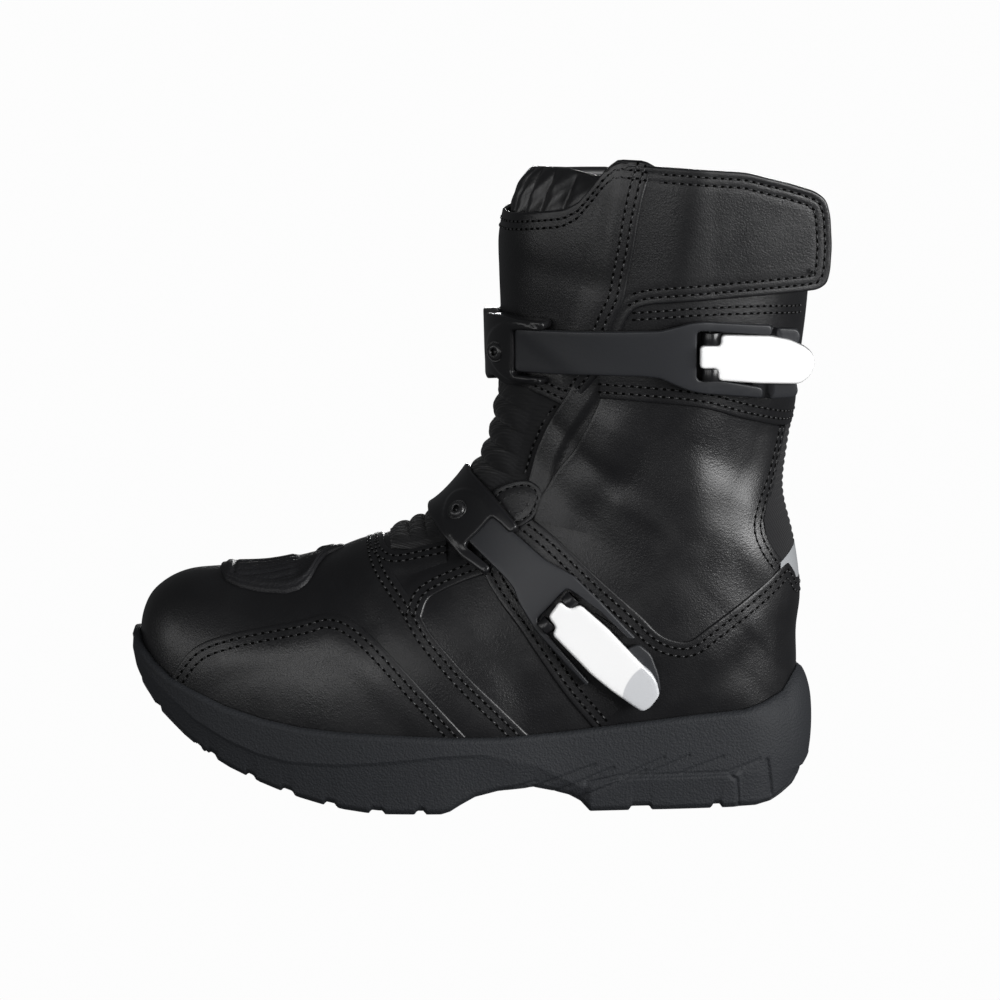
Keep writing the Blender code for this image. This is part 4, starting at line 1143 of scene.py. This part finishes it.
# The toe pad: half width along the toe, round a middle line.
PAD_X = (-114.5, -112.5, -106.0, -98.0, -85.0, -79.5, -76.0, -73.4, -71.0, -67.6, -60.0)
PAD_HALF = (8.0, 17.0, 22.5, 26.0, 30.5, 30.5, 28.5, 24.0, 15.5, 7.0, 1.5)
PAD_MID = 6.5
PAD_HIGH = 1.7
PAD_RIB = 1.2
PAD_SINK = 0.5
PAD_RING = 0.9
PAD_BORDER = 4.2
PAD_PITCH = 5.4
PAD_ROWS = 110
PAD_COLS = 91
PAD_TOP = 200.0
PAD_ROUND = 1.4
PAD_FRONT = -80.0
PAD_FRONT_RUN = 3.0
PAD_NOSE = 0.8
PAD_NOSE_HALF = 3.0
PAD_END_SLOPES = (0.9, 0.7)
PAD_RING_HALF = 1.5
PAD_FIELD_IN = 2.2
PAD_FIELD_RUN = 0.8
PAD_RIB_POWER = 0.8
PAD_LOW = 0.2
PAD_MIDDLE = (-90.0, 5.0, 60.0)


def build_pad():
    """A rubber pad with a rolled border and ribs along the foot."""
    xs = np.linspace(PAD_X[0] - PAD_NOSE, PAD_X[-1], PAD_ROWS)
    halves = ease(np.interp(xs, PAD_X, PAD_HALF, left=PAD_NOSE_HALF), 3)
    rows = []
    for x, half in zip(xs, halves):
        row = []
        for v in np.linspace(-1.0, 1.0, PAD_COLS):
            y = PAD_MID + v * half
            place, out = BASE_TREE.ray_cast(Vector((x, y, PAD_TOP)), Vector((0.0, 0.0, -1.0)))[:2]
            ends = ((x - xs[0]) * PAD_END_SLOPES[0], (xs[-1] - x) * PAD_END_SLOPES[1])
            inset = min(half * (1.0 - abs(v)), *ends)
            lip = math.sqrt(max(1.0 - max(1.0 - inset / PAD_ROUND, 0.0) ** 2, 0.0))
            ring = math.exp(-((inset - PAD_BORDER) / PAD_RING_HALF) ** 4)
            field = ramp((inset - PAD_BORDER - PAD_FIELD_IN) / PAD_FIELD_RUN)
            ridge = abs(math.sin(math.pi * (y - PAD_MID) / PAD_PITCH)) ** PAD_RIB_POWER
            front = ramp((PAD_FRONT - x) / PAD_FRONT_RUN)
            ribs = field * (PAD_RIB * ridge * front - PAD_SINK)
            high = lip * PAD_HIGH + PAD_RING * ring + ribs - PAD_LOW
            row.append(np.array(place) + np.array(out) * np.sign(out.z) * high)
        rows.append(row)
    thing = add_sheet("toe_pad", np.array(rows), PAD, PAD_MIDDLE)
    finish_piece(thing, ("shift_pad",))


# Steps of the search for a side-view point on the upper, and the most it moves in one round.
SEEK_U, SEEK_T = 0.01, 0.002
MOST_U, MOST_T = 0.3, 0.03
SEEK_ROUNDS = 6
NEAR_SIDE = 60.0


def locate(x, z):
    """Section and column numbers of side-view points on the lateral side of the upper."""
    x, z = np.asarray(x, float), np.asarray(z, float)
    u = np.empty(x.shape)
    t = np.empty(x.shape)
    for index in np.ndindex(x.shape):
        start = Vector((x[index], -FAR_OFF, z[index]))
        face = BASE_TREE.ray_cast(start, Vector((0.0, 1.0, 0.0)))[2]
        if face is None:
            face = BASE_TREE.find_nearest(Vector((x[index], -NEAR_SIDE, z[index])))[2]
        row, col = divmod(face, COLS_DENSE - 1)
        u[index] = GRID_U[row, col]
        t[index] = GRID_T[row, col]
    for _ in range(SEEK_ROUNDS):
        here = surface(u, t)
        du = (surface(u + SEEK_U, t) - here) / SEEK_U
        dt = (surface(u, t + SEEK_T) - here) / SEEK_T
        ex, ez = x - here[..., 0], z - here[..., 2]
        det = du[..., 0] * dt[..., 2] - du[..., 2] * dt[..., 0]
        det = np.where(np.abs(det) < 1.0, np.sign(det) + (det == 0.0), det)
        step_u = (ex * dt[..., 2] - ez * dt[..., 0]) / det
        step_t = (du[..., 0] * ez - du[..., 2] * ex) / det
        u = u + np.clip(step_u, -MOST_U, MOST_U)
        t = np.clip(t + np.clip(step_t, -MOST_T, MOST_T), -END_T, END_T)
    return u, t


def side_map(x, z, high):
    """Side-view points laid on the lateral side of the upper, lifted off it."""
    return skin(*locate(x, z), high)


# Where a band leaves the shaft's turn, how it bends there, and the run that gives its slope.
STRAIGHT_FROM = 100.0
STRAIGHT_BEND = 0.0012
BAND_RUN = 8.0
BAND_TOP = 2.0
LEAST_OUT = 0.5


def band_map(x, z, high):
    """Side-view points on a band that runs on straight behind the shaft's turn."""
    x, z, high = arrays(x, z, high)

    def meet(px):
        top = np.interp(px, COLLAR_X, COLLAR_Z) - BAND_TOP
        u, t = locate(px, np.minimum(z, top))
        out = normals(u, t)[..., 1]
        return surface(u, t)[..., 1] - high / np.maximum(np.abs(out), LEAST_OUT)

    y = meet(np.minimum(x, STRAIGHT_FROM))
    if (x > STRAIGHT_FROM).any():
        ahead = meet(np.full(x.shape, STRAIGHT_FROM - BAND_RUN))
        slope = (meet(np.full(x.shape, STRAIGHT_FROM)) - ahead) / BAND_RUN
        run = np.maximum(x - STRAIGHT_FROM, 0.0)
        y = y + slope * run + STRAIGHT_BEND * run * run
    return np.stack([x, y, z], axis=-1)


# Scale of the sections' own net, to about a millimetre.
WRAP_U = 8.0
WRAP_T = 110.0


def wrap_map(a, b, high):
    """Points of the sections' own net."""
    return skin(np.asarray(a) / WRAP_U, np.asarray(b) / WRAP_T, high)


def wrapped(line):
    """Side-view points as places in the sections' own net. A third value is a column number instead of x."""
    net = []
    for x, z, *column in line:
        if column:
            u, t = float(at_height(column[0], z)), column[0]
        else:
            u, t = (found[0] for found in locate(np.array([x]), np.array([z])))
        net.append((u * WRAP_U, t * WRAP_T))
    return net


CORNER_PARTS = 7
CORNER_SHARE = 0.45


def round_loop(corners, radius, step):
    """A closed loop with rounded corners, anticlockwise, evenly stepped."""
    pts = np.asarray(corners, float)
    area = np.sum(pts[:, 0] * np.roll(pts[:, 1], -1) - pts[:, 1] * np.roll(pts[:, 0], -1))
    if area < 0.0:
        pts = pts[::-1]
    loop = []
    for before, here, after in zip(np.roll(pts, 1, axis=0), pts, np.roll(pts, -1, axis=0)):
        back, ahead = before - here, after - here
        reach = min(radius, *(CORNER_SHARE * np.linalg.norm(side) for side in (back, ahead)))
        start = here + unit(back) * reach
        end = here + unit(ahead) * reach
        for f in np.linspace(0.0, 1.0, CORNER_PARTS):
            loop.append((1 - f) ** 2 * start + 2 * f * (1 - f) * here + f * f * end)
    return even_steps(np.array(loop + loop[:1]), step)[:-1]


def inset_loop(loop, inset):
    along = unit(np.roll(loop, -1, axis=0) - np.roll(loop, 1, axis=0))
    return loop + np.stack([-along[:, 1], along[:, 0]], axis=1) * inset


def inside_loop(points, loop):
    x, y = points[:, 0][:, None], points[:, 1][:, None]
    x0, y0 = loop[:, 0][None], loop[:, 1][None]
    x1, y1 = np.roll(loop[:, 0], -1)[None], np.roll(loop[:, 1], -1)[None]
    span = np.where(y1 == y0, TINY, y1 - y0)
    cross = ((y0 > y) != (y1 > y)) & (x < (x1 - x0) * (y - y0) / span + x0)
    return (np.sum(cross, axis=1) % 2) == 1


FILL_CLEAR = 0.6
FILL_MERGE = 1e-5
CONSTRAINED = 1


def fill_loop(loop, pitch):
    """Inner points on a grid over a loop, and triangles that count the loop's points first."""
    low, high = loop.min(axis=0), loop.max(axis=0)
    grid = np.stack(np.meshgrid(np.arange(low[0], high[0], pitch), np.arange(low[1], high[1], pitch)), -1)
    grid = grid.reshape(-1, 2)
    grid = grid[inside_loop(grid, loop)]
    if len(grid):
        away = np.min(np.linalg.norm(grid[:, None, :] - loop[None], axis=2), axis=1)
        grid = grid[away > pitch * FILL_CLEAR]
    spots = np.concatenate([loop, grid])
    edges = [(k, (k + 1) % len(loop)) for k in range(len(loop))]
    result = delaunay_2d_cdt([Vector(p) for p in spots], edges, [], CONSTRAINED, FILL_MERGE)
    source = [own[0] if own else -1 for own in result[3]]
    return grid, [[source[v] for v in face] for face in result[2]]


def build_slab(name, outline, mapping, low, profile, material, radius, step, pitch, crown=None):
    """A closed plate: an outline, rings of (inset, height) over its edge, then a filled top and back."""
    loop = round_loop(outline, radius, step)
    rings = [(0.0, low)] + list(profile)
    count = len(loop)
    flat = [inset_loop(loop, inset) for inset, _ in rings]
    heights = [np.full(count, high) for _, high in rings]
    faces = grid_faces(len(rings), count, close=True)
    inner, top = fill_loop(flat[-1], pitch)
    inner_low, bottom = fill_loop(flat[0], pitch)
    first = len(rings) * count

    def own(index, ring, filled):
        return ring + index if index < count else filled + index - count

    for face in top:
        faces.append(tuple(own(v, first - count, first) for v in face))
    for face in bottom:
        faces.append(tuple(own(v, 0, first + len(inner)) for v in reversed(face)))
    all_flat = np.concatenate(flat + [inner, inner_low])
    all_high = np.concatenate(heights + [np.full(len(inner), profile[-1][1]), np.full(len(inner_low), low)])
    if crown is not None:
        all_high = all_high + crown(all_flat, all_high)
    points = mapping(all_flat[:, 0], all_flat[:, 1], all_high)
    return add_mesh(name, points, faces, material, points.mean(axis=0)), loop


EDGE_TURNS = (0.3, 0.6, 0.8, 1.0)


def rounded_edge(low, high, radius):
    """Rings up a side and round its upper edge."""
    rings = [(0.0, 0.5 * (low + high - radius)), (0.0, high - radius)]
    for turn in EDGE_TURNS:
        angle = 0.5 * math.pi * turn
        rings.append((radius * (1.0 - math.cos(angle)), high - radius * (1.0 - math.sin(angle))))
    return rings


# The collar strap: its outline in the side view, and how it lies off the shaft.
STRAP = ((43.0, 198.0), (57.0, 198.6), (62.6, 212.6), (66.4, 217.4), (72.8, 219.2), (85.7, 220.2),
         (111.6, 221.8), (137.7, 223.4), (145.6, 224.2), (149.4, 226.6), (150.8, 232.1), (151.4, 242.7),
         (150.6, 255.5), (148.8, 262.4), (143.9, 266.2), (133.0, 269.8), (113.5, 275.0), (85.4, 277.2),
         (62.0, 278.4), (57.5, 267.0), (55.0, 254.0), (52.5, 238.0), (50.0, 222.0), (46.0, 210.0))
TUCK_DROP = 2.3
TUCK_RUN = 26.0
STRAP_OFF = 1.2
STRAP_THICK = 2.2
STRAP_BEVEL = 0.8
STRAP_DIP = 0.16
TUCK_AHEAD = 1.0
ROW_LEAN = 0.2
SLOPE_RUN = 2.0
TUCK_SEWN = 2.15

# Rings of the strap's face: inset from its edge, and share of the dip that the stitches lie in.
STRAP_RINGS = ((1.6, 0.0), (2.2, 0.625), (3.0, 1.0), (3.8, 0.625), (4.7, 0.0),
               (5.6, 0.625), (6.4, 1.0), (7.2, 0.625), (8.6, 0.0))
SHIN_LINE = np.array(SHIN_BACK)[::-1]


def tuck(x, z):
    """How far the strap sinks where it slips under the shin flap's edge."""
    ahead = x - np.interp(z, SHIN_LINE[:, 1], SHIN_LINE[:, 0]) + TUCK_AHEAD
    return -TUCK_DROP * (1.0 - smooth_ramp(ahead / TUCK_RUN))


def build_strap():
    top = STRAP_OFF + STRAP_THICK
    edge = rounded_edge(STRAP_OFF, top, STRAP_BEVEL)
    profile = edge + [(inset, top - STRAP_DIP * dip) for inset, dip in STRAP_RINGS]
    thing, loop = build_slab("strap_leather", STRAP, band_map, STRAP_OFF, profile, LEATHER, radius=2.5,
                             step=1.4, pitch=1.8, crown=lambda flat, high: tuck(flat[:, 0], flat[:, 1]))
    finish_piece(thing, ("collar_strap",))
    thread = []
    for inset in STITCH_IN:
        row = inset_loop(loop, inset)
        first = int(np.argmin(row[:, 0] + ROW_LEAN * row[:, 1]))
        row = np.roll(row, -first, axis=0)
        x, z = row[tuck(row[:, 0], row[:, 1]) > -TUCK_SEWN].T
        places = band_map(x, z, top - STRAP_DIP + tuck(x, z))
        along = band_map(x + SLOPE_RUN, z, top) - band_map(x - SLOPE_RUN, z, top)
        outs = unit(np.cross(along, UPRIGHT))
        thread.append((places, outs * -np.sign(outs[:, 1:2]), 0.0))
    sew("strap_stitches", thread)


# Outlines of the two buckles in the side view.
FORK_HIGH = ((14.8, 187.7), (51.4, 188.7), (68.6, 188.7), (77.2, 187.9), (83.6, 184.9), (90.1, 182.3),
             (96.6, 180.9), (121.8, 178.4), (121.8, 183.1), (104.0, 186.6), (93.1, 186.9), (93.0, 208.2),
             (103.8, 207.5), (125.5, 205.6), (125.5, 209.9), (96.4, 212.1), (90.0, 211.6), (85.7, 210.4),
             (77.1, 208.3), (14.8, 206.5))
FORK_LOW = ((-7.5, 116.4), (10.6, 100.5), (14.9, 95.6), (16.6, 90.2), (23.6, 78.9), (38.7, 62.6),
            (45.5, 55.5), (47.0, 57.0), (34.4, 71.2), (24.0, 83.2), (37.4, 96.7), (51.7, 87.3),
            (64.0, 75.6), (67.4, 75.6), (51.7, 91.6), (45.2, 97.5), (40.9, 101.7), (27.9, 108.3),
            (17.1, 117.1), (3.4, 127.4))
LEVER_LOW = ((43.0, 90.2), (54.7, 80.4), (69.1, 65.5), (73.4, 62.0), (75.6, 58.4), (76.9, 52.7), (72.6, 47.4),
             (69.2, 45.7), (64.8, 48.5), (56.1, 54.4), (47.4, 61.1), (30.9, 77.5), (32.6, 80.5), (29.2, 84.7),
             (34.3, 91.4), (38.7, 88.1))
LEVER_HIGH = ((103.3, 206.5), (124.6, 205.5), (133.3, 203.5), (139.9, 200.3), (142.9, 197.7), (144.3, 194.6),
              (143.9, 191.2), (142.1, 187.5), (137.8, 184.4), (120.4, 185.2), (102.1, 187.0), (102.1, 192.1),
              (94.3, 192.3), (94.3, 202.0), (103.4, 201.8))
BASE_LOW = ((57.0, 57.0), (62.0, 71.0), (68.4, 73.4), (73.7, 68.9), (77.0, 60.0), (78.0, 52.8), (73.0, 47.0))
BASE_HIGH = ((117.0, 177.6), (135.9, 177.9), (137.4, 180.4), (136.6, 184.0), (136.8, 201.0), (138.4, 204.4),
             (136.6, 207.9), (117.0, 209.2))
BRACKET_HIGH = ((8.5, 181.6), (16.2, 181.2), (29.7, 183.6), (29.7, 186.4), (19.3, 186.4), (19.3, 206.4),
                (30.9, 207.6), (30.9, 211.4), (21.4, 211.0), (0.0, 210.2, -0.05), (0.0, 210.0, 0.09),
                (0.0, 206.0, 0.125), (0.0, 186.0, 0.125), (0.0, 181.6, 0.09), (0.0, 181.4, -0.05))
BRACKET_LOW = ((4.0, 135.6), (17.5, 120.9), (14.2, 117.6), (7.1, 123.9), (-5.6, 111.1), (5.2, 103.6),
               (2.7, 100.7), (-6.9, 106.4), (-14.8, 113.5))
BRACKET_LOW_OVER = ((8.75, -0.12), (8.78, 0.06), (9.1, 0.14), (9.9, 0.16), (10.55, 0.12), (10.72, 0.0),
                    (10.72, -0.1))

# Round ends of the brackets' inner plates: middle and radius in the side view. Then the slit in the upper
# lever's base.
DISC_HIGH = (16.2, 196.8, 13.2)
DISC_LOW = (-4.7, 124.0, 11.6)
DISC_RISE = 0.8
DISC_EDGE = 0.9
SLIT_Z = (178.0, 209.0)
SLIT_X = (124.6, 127.6)
SLIT_DEEP = 3.2
SLIT_EDGE = 0.8
SLIT_FROM = 1.0
CROWN_RUN = 3.0
BRACKET_FOOT = 0.4
BRACKET_FROM = 1.8
BRACKET_BEVEL = 0.9


def disc_rise(disc):
    """A crown that lifts the round plate round the screw."""
    x, z, radius = disc

    def crown(flat, high):
        points = wrap_map(flat[:, 0], flat[:, 1], high)
        away = np.hypot(points[:, 0] - x, points[:, 2] - z)
        rise = DISC_RISE * ramp((radius - away) / DISC_EDGE + 0.5)
        return rise * ramp((high - BRACKET_FROM) / CROWN_RUN)
    return crown


def slit(flat, high):
    away = ramp((flat[:, 0] - np.interp(flat[:, 1], SLIT_Z, SLIT_X)) / SLIT_EDGE + 0.5)
    return -SLIT_DEEP * (1.0 - away) * ramp((high - SLIT_FROM) / CROWN_RUN)


# Plates: name, outline, how it lies, its back and face over the upper, bevel, material, crown, slot, solid.
PLATES = (
    ("fork_arm_high", FORK_HIGH, band_map, 2.9, 6.1, 0.8, PLASTIC, None, "strap_plastic", "fork_high"),
    ("fork_arm_low", FORK_LOW, side_map, 1.9, 5.2, 0.8, PLASTIC, None, "strap_plastic", "fork_low"),
    ("lever_plate_high", LEVER_HIGH, band_map, 3.0, 9.0, 1.2, LEVER, None, "lever_metal", "lever_high"),
    ("lever_plate_low", LEVER_LOW, side_map, 3.5, 9.5, 1.2, LEVER_TIPPED, None, "lever_metal", "lever_low"),
    ("base_plate_high", BASE_HIGH, band_map, 1.0, 5.0, 0.8, PLASTIC, slit, "strap_plastic", "base_high"),
    ("base_plate_low", BASE_LOW, side_map, 1.5, 4.8, 0.8, PLASTIC, None, "strap_plastic", "base_low"),
)


def build_buckles():
    for name, outline, mapping, low, high, bevel, material, crown, slot, node in PLATES:
        edge = rounded_edge(low, high, bevel)
        thing = build_slab(name, outline, mapping, low, edge, material, radius=2.0, step=0.9, pitch=1.6,
                           crown=crown)[0]
        finish_piece(thing, (node,))
    low_net = wrapped(BRACKET_LOW) + [(u * WRAP_U, t * WRAP_T) for u, t in BRACKET_LOW_OVER]
    brackets = (
        ("bracket_plate_high", wrapped(BRACKET_HIGH), 7.5, DISC_HIGH, "bracket_high"),
        ("bracket_plate_low", low_net, 5.8, DISC_LOW, "bracket_low"),
    )
    for name, net, high, disc, node in brackets:
        edge = rounded_edge(BRACKET_FROM, high, BRACKET_BEVEL)
        thing = build_slab(name, net, wrap_map, BRACKET_FOOT, edge, GLOSSY, radius=1.4, step=0.8, pitch=0.8,
                           crown=disc_rise(disc))[0]
        finish_piece(thing, (node,))


COLLAR_ROWS = 60
SHAFT_STEP = 1.2


def column_drop(down):
    """Places and outward directions a given distance down from the collar edge, along every column."""
    places, outs = [], []
    for c in range(COLS_DENSE):
        line = GRID_SKIN[::-1, c][:COLLAR_ROWS]
        out = GRID_OUT[::-1, c][:COLLAR_ROWS]
        run = run_along(line)
        places.append([np.interp(down, run, line[:, k]) for k in range(3)])
        outs.append([np.interp(down, run, out[:, k]) for k in range(3)])
    return np.array(places), np.array(outs)


# Stitched lines without an overlaid edge, in the side view, and their height over the skin.
UNDER_ROW = ((66.0, 215.4), (94.8, 217.3), (121.2, 216.9), (139.7, 214.8))
ROW_APART = 3.0
FLEX_ROW = ((32.2, 173.3), (27.9, 167.3), (24.9, 160.1), (22.7, 154.7), (21.0, 148.6), (19.3, 142.7))
SHAFT_ROWS = ((UNDER_ROW, 0.0), ([(x, z - ROW_APART) for x, z in UNDER_ROW], 0.0), (FLEX_ROW, 0.5))


def build_extra_stitches():
    """Rows round the collar's edge, under the strap and beside the bellows."""
    thread = []
    for down in STITCH_IN:
        places, outs = column_drop(down)
        wide = np.interp(places[:, 2], SHIN_LINE[:, 1], SHIN_LINE[:, 0]) - places[:, 0]
        high = np.where(wide > 0.0, grown(down, SHIN_GROW) * ribbon_height(wide, SHIN_FADE), 0.0)
        places = places + outs * high[:, None]
        ends = np.flatnonzero(np.diff(wide > 0.0)) + 1
        for part, out in zip(np.split(places, ends), np.split(outs, ends)):
            thread.append((part, out, 0.0))
    for line, high in SHAFT_ROWS:
        places, outs = settle(smooth_line(on_side(smooth_line(line, SIDE_STEP), -1.0), SHAFT_STEP))
        thread.append((places, ease(outs, 3), high))
    sew("collar_stitches", thread)


# The small tab over the lower buckle, its two rows of stitches and their groove.
TAB = ((2.0, 128.0), (6.6, 135.3), (10.6, 137.9), (16.2, 140.2), (21.4, 141.0), (25.8, 138.7), (27.7, 134.7),
       (26.4, 130.5), (23.8, 125.4), (16.0, 120.0))
TAB_ROWS = (2.1, 4.8)
TAB_HIGH = 1.9
TAB_OFF = 0.2
TAB_DIP = 0.25
TAB_BEVEL = 0.6


def build_tab():
    groove = [(1.6, TAB_HIGH), (2.1, TAB_HIGH - TAB_DIP), (2.6, TAB_HIGH)]
    profile = rounded_edge(TAB_OFF, TAB_HIGH, TAB_BEVEL) + groove
    thing, loop = build_slab("tab_leather", TAB, side_map, TAB_OFF, profile, LEATHER, radius=4.5, step=0.9,
                             pitch=2.6)
    finish_piece(thing, ("strap_tab",))
    thread = []
    for inset in TAB_ROWS:
        row = inset_loop(loop, inset)
        u, t = locate(row[:, 0], row[:, 1])
        thread.append((skin(u, t, np.full(len(row), TAB_HIGH - TAB_DIP)), normals(u, t), 0.0))
    sew("tab_stitches", thread)


# A direction that no turned piece points in.
SKEW = np.array([0.31, 0.72, 0.62])
FLAT_TURN = math.pi / 6


def build_lathe(name, base, axis, profile, sides, material):
    """A turned piece: rows of (radius, height, hexagonal) round an axis. Hexagonal rows have flats."""
    axis = unit(axis)
    aside = unit(np.cross(axis, SKEW))
    other = np.cross(axis, aside)
    verts = []
    for radius, high, hexed in profile:
        for turn in (2.0 * math.pi * k / sides for k in range(sides)):
            reach = radius
            if hexed:
                off_flat = (turn + FLAT_TURN) % (2.0 * FLAT_TURN) - FLAT_TURN
                reach = radius * math.cos(FLAT_TURN) / math.cos(off_flat)
            verts.append(base + axis * high + reach * (math.cos(turn) * aside + math.sin(turn) * other))
    faces = grid_faces(len(profile), sides, close=True) + end_faces(len(profile), sides)
    middle = base + axis * 0.5 * profile[len(profile) // 2][1]
    return add_mesh(name, np.array(verts), faces, material, middle)


# A button screw: radius, height and whether the ring is hexagonal.
SCREW_ROWS = ((4.6, -1.2, False), (4.6, 0.25, False), (4.3, 0.6, False), (4.0, 0.35, False),
              (3.8, 0.35, False), (3.7, 0.95, False), (3.2, 1.45, False), (2.4, 1.75, False),
              (1.75, 1.8, True), (1.7, 0.5, True))
SCREW_SIDES = 36

# Screws: solid, column and section number, height over the upper, and how far the axis turns to the side.
SCREWS = (("screw_high", -0.13, 16.84, 8.8, 0.7), ("screw_low", -0.235, 9.8, 7.1, 0.3))


def build_screws():
    for node, t, u, off, turn in SCREWS:
        axis = normals(u, t) + turn * np.array([0.0, -1.0, 0.1])
        thing = build_lathe(node + "_turned", skin(u, t, off), axis, SCREW_ROWS, SCREW_SIDES, SCREW)
        finish_piece(thing, (node,))


# The levers' axles: shares of the radius and of the length along a rod. Then each axle's middle in the side
# view, its height and its direction.
ROLLER_ROWS = ((0.9, 0.0), (0.985, 0.004), (1.0, 0.03), (1.0, 0.97), (0.985, 0.996), (0.9, 1.0))
ROLLER_SIDES = 28
AXLE_HIGH = (99.4, 195.0, 4.6)
AXLE_LOW = (33.6, 86.4, 5.6)
ACROSS = np.array([0.698, 0.0, 0.716])

# Rods: solid, how its axle lies, the axle, its direction, near and far end along it, radius.
RODS = (
    ("roller_high_top", band_map, AXLE_HIGH, UPRIGHT, 7.2, 12.2, 4.0),
    ("roller_high_low", band_map, AXLE_HIGH, UPRIGHT, -8.2, -3.0, 4.0),
    ("roller_low_top", side_map, AXLE_LOW, ACROSS, 5.2, 9.6, 3.4),
    ("roller_low_low", side_map, AXLE_LOW, ACROSS, -9.6, -5.2, 3.4),
)


def build_rollers():
    for node, mapping, axle, axis, near, far, thick in RODS:
        base = mapping(*(np.array([value]) for value in axle))[0]
        rows = [(thick * radius, share * (far - near), False) for radius, share in ROLLER_ROWS]
        thing = build_lathe(node + "_turned", base + axis * near, axis, rows, ROLLER_SIDES, GLOSSY)
        finish_piece(thing, (node,))


# The stretch panel down the back: heights, and the place where it slips under the quarter's edge.
BACK_Z = (104.0, 110.0, 118.0, 124.0, 132.0, 142.0, 152.0, 163.0)
BACK_X = (132.0, 127.0, 124.0, 123.0, 125.0, 127.5, 130.0, 132.0)
BACK_RIB = 3.2
BACK_COLS = 61
BACK_LOW = (103.0, 7.0)
BACK_TOP = (164.0, 0.0)
BACK_ROWS = 160
CLOTH_OFF = 0.5
CLOTH_WAVE = 0.24

# The small reflector under it: its sides, and its height over the upper.
SHINE_Z = (90.0, 120.0)
SHINE_X = (130.5, 130.5)
SHINE_LOW = (101.0, -8.0)
SHINE_TOP = (104.5, 6.0)
SHINE_ROWS = 24
SHINE_OFF = 0.72


def wrap_grid(lows, tops, edge_z, edge_x, rows, high):
    """A sheet round the back between the two sides, at heights that may dip or rise to the middle."""
    share = np.linspace(-1.0, 1.0, BACK_COLS)[None, :]
    part = np.linspace(0.0, 1.0, rows)[:, None]
    swing = 1.0 - share ** 2
    z = (lows[0] + lows[1] * swing) * (1.0 - part) + (tops[0] + tops[1] * swing) * part
    away = share * (1.0 + locate(np.interp(z, edge_z, edge_x), z)[1])
    t = np.where(share < 0.0, -1.0 - away, 1.0 - away)
    return skin(at_height(t, z), t, high(z, share))


def cloth_height(z, share):
    return CLOTH_OFF + CLOTH_WAVE * np.sin(2.0 * math.pi * z / BACK_RIB) * (1.0 - share ** 6)


def shine_height(z, share):
    return SHINE_OFF + 0.0 * z


def build_back():
    grid = wrap_grid(BACK_LOW, BACK_TOP, BACK_Z, BACK_X, BACK_ROWS, cloth_height)
    finish_piece(add_sheet("back_stretch", grid, FABRIC))
    grid = wrap_grid(SHINE_LOW, SHINE_TOP, SHINE_Z, SHINE_X, SHINE_ROWS, shine_height)
    finish_piece(add_sheet("back_reflector", grid, REFLECT))


def dress_insole():
    """The footbed keeps its solid, in the lining's cloth."""
    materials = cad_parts["insole"].data.materials
    materials.clear()
    materials.append(LINING)


FLOOR_HALF = 8.0
FLOOR_WHITE = 0.98


def make_floor():
    mesh = bpy.data.meshes.new("floor")
    corners = [(x * FLOOR_HALF, y * FLOOR_HALF, 0.0) for x, y in ((-1, -1), (1, -1), (1, 1), (-1, 1))]
    mesh.from_pydata(corners, [], [(0, 1, 2, 3)])
    material, _, node = plain("floor", (0.0, 0.0, 0.0), 1.0, spec=0.0)
    node.inputs["Emission Color"].default_value = (1.0, 1.0, 1.0, 1.0)
    node.inputs["Emission Strength"].default_value = FLOOR_WHITE
    mesh.materials.append(material)
    thing = add_object("floor", mesh)
    thing.visible_glossy = False
    thing.visible_diffuse = False


build_upper_skin()
build_seams()
build_sole()
build_flex()
build_gusset()
build_pad()
build_strap()
build_buckles()
build_extra_stitches()
build_tab()
build_screws()
build_rollers()
build_back()
dress_insole()
make_camera()
make_lights()
make_floor()
bpy.context.scene.view_settings.view_transform = "Standard"
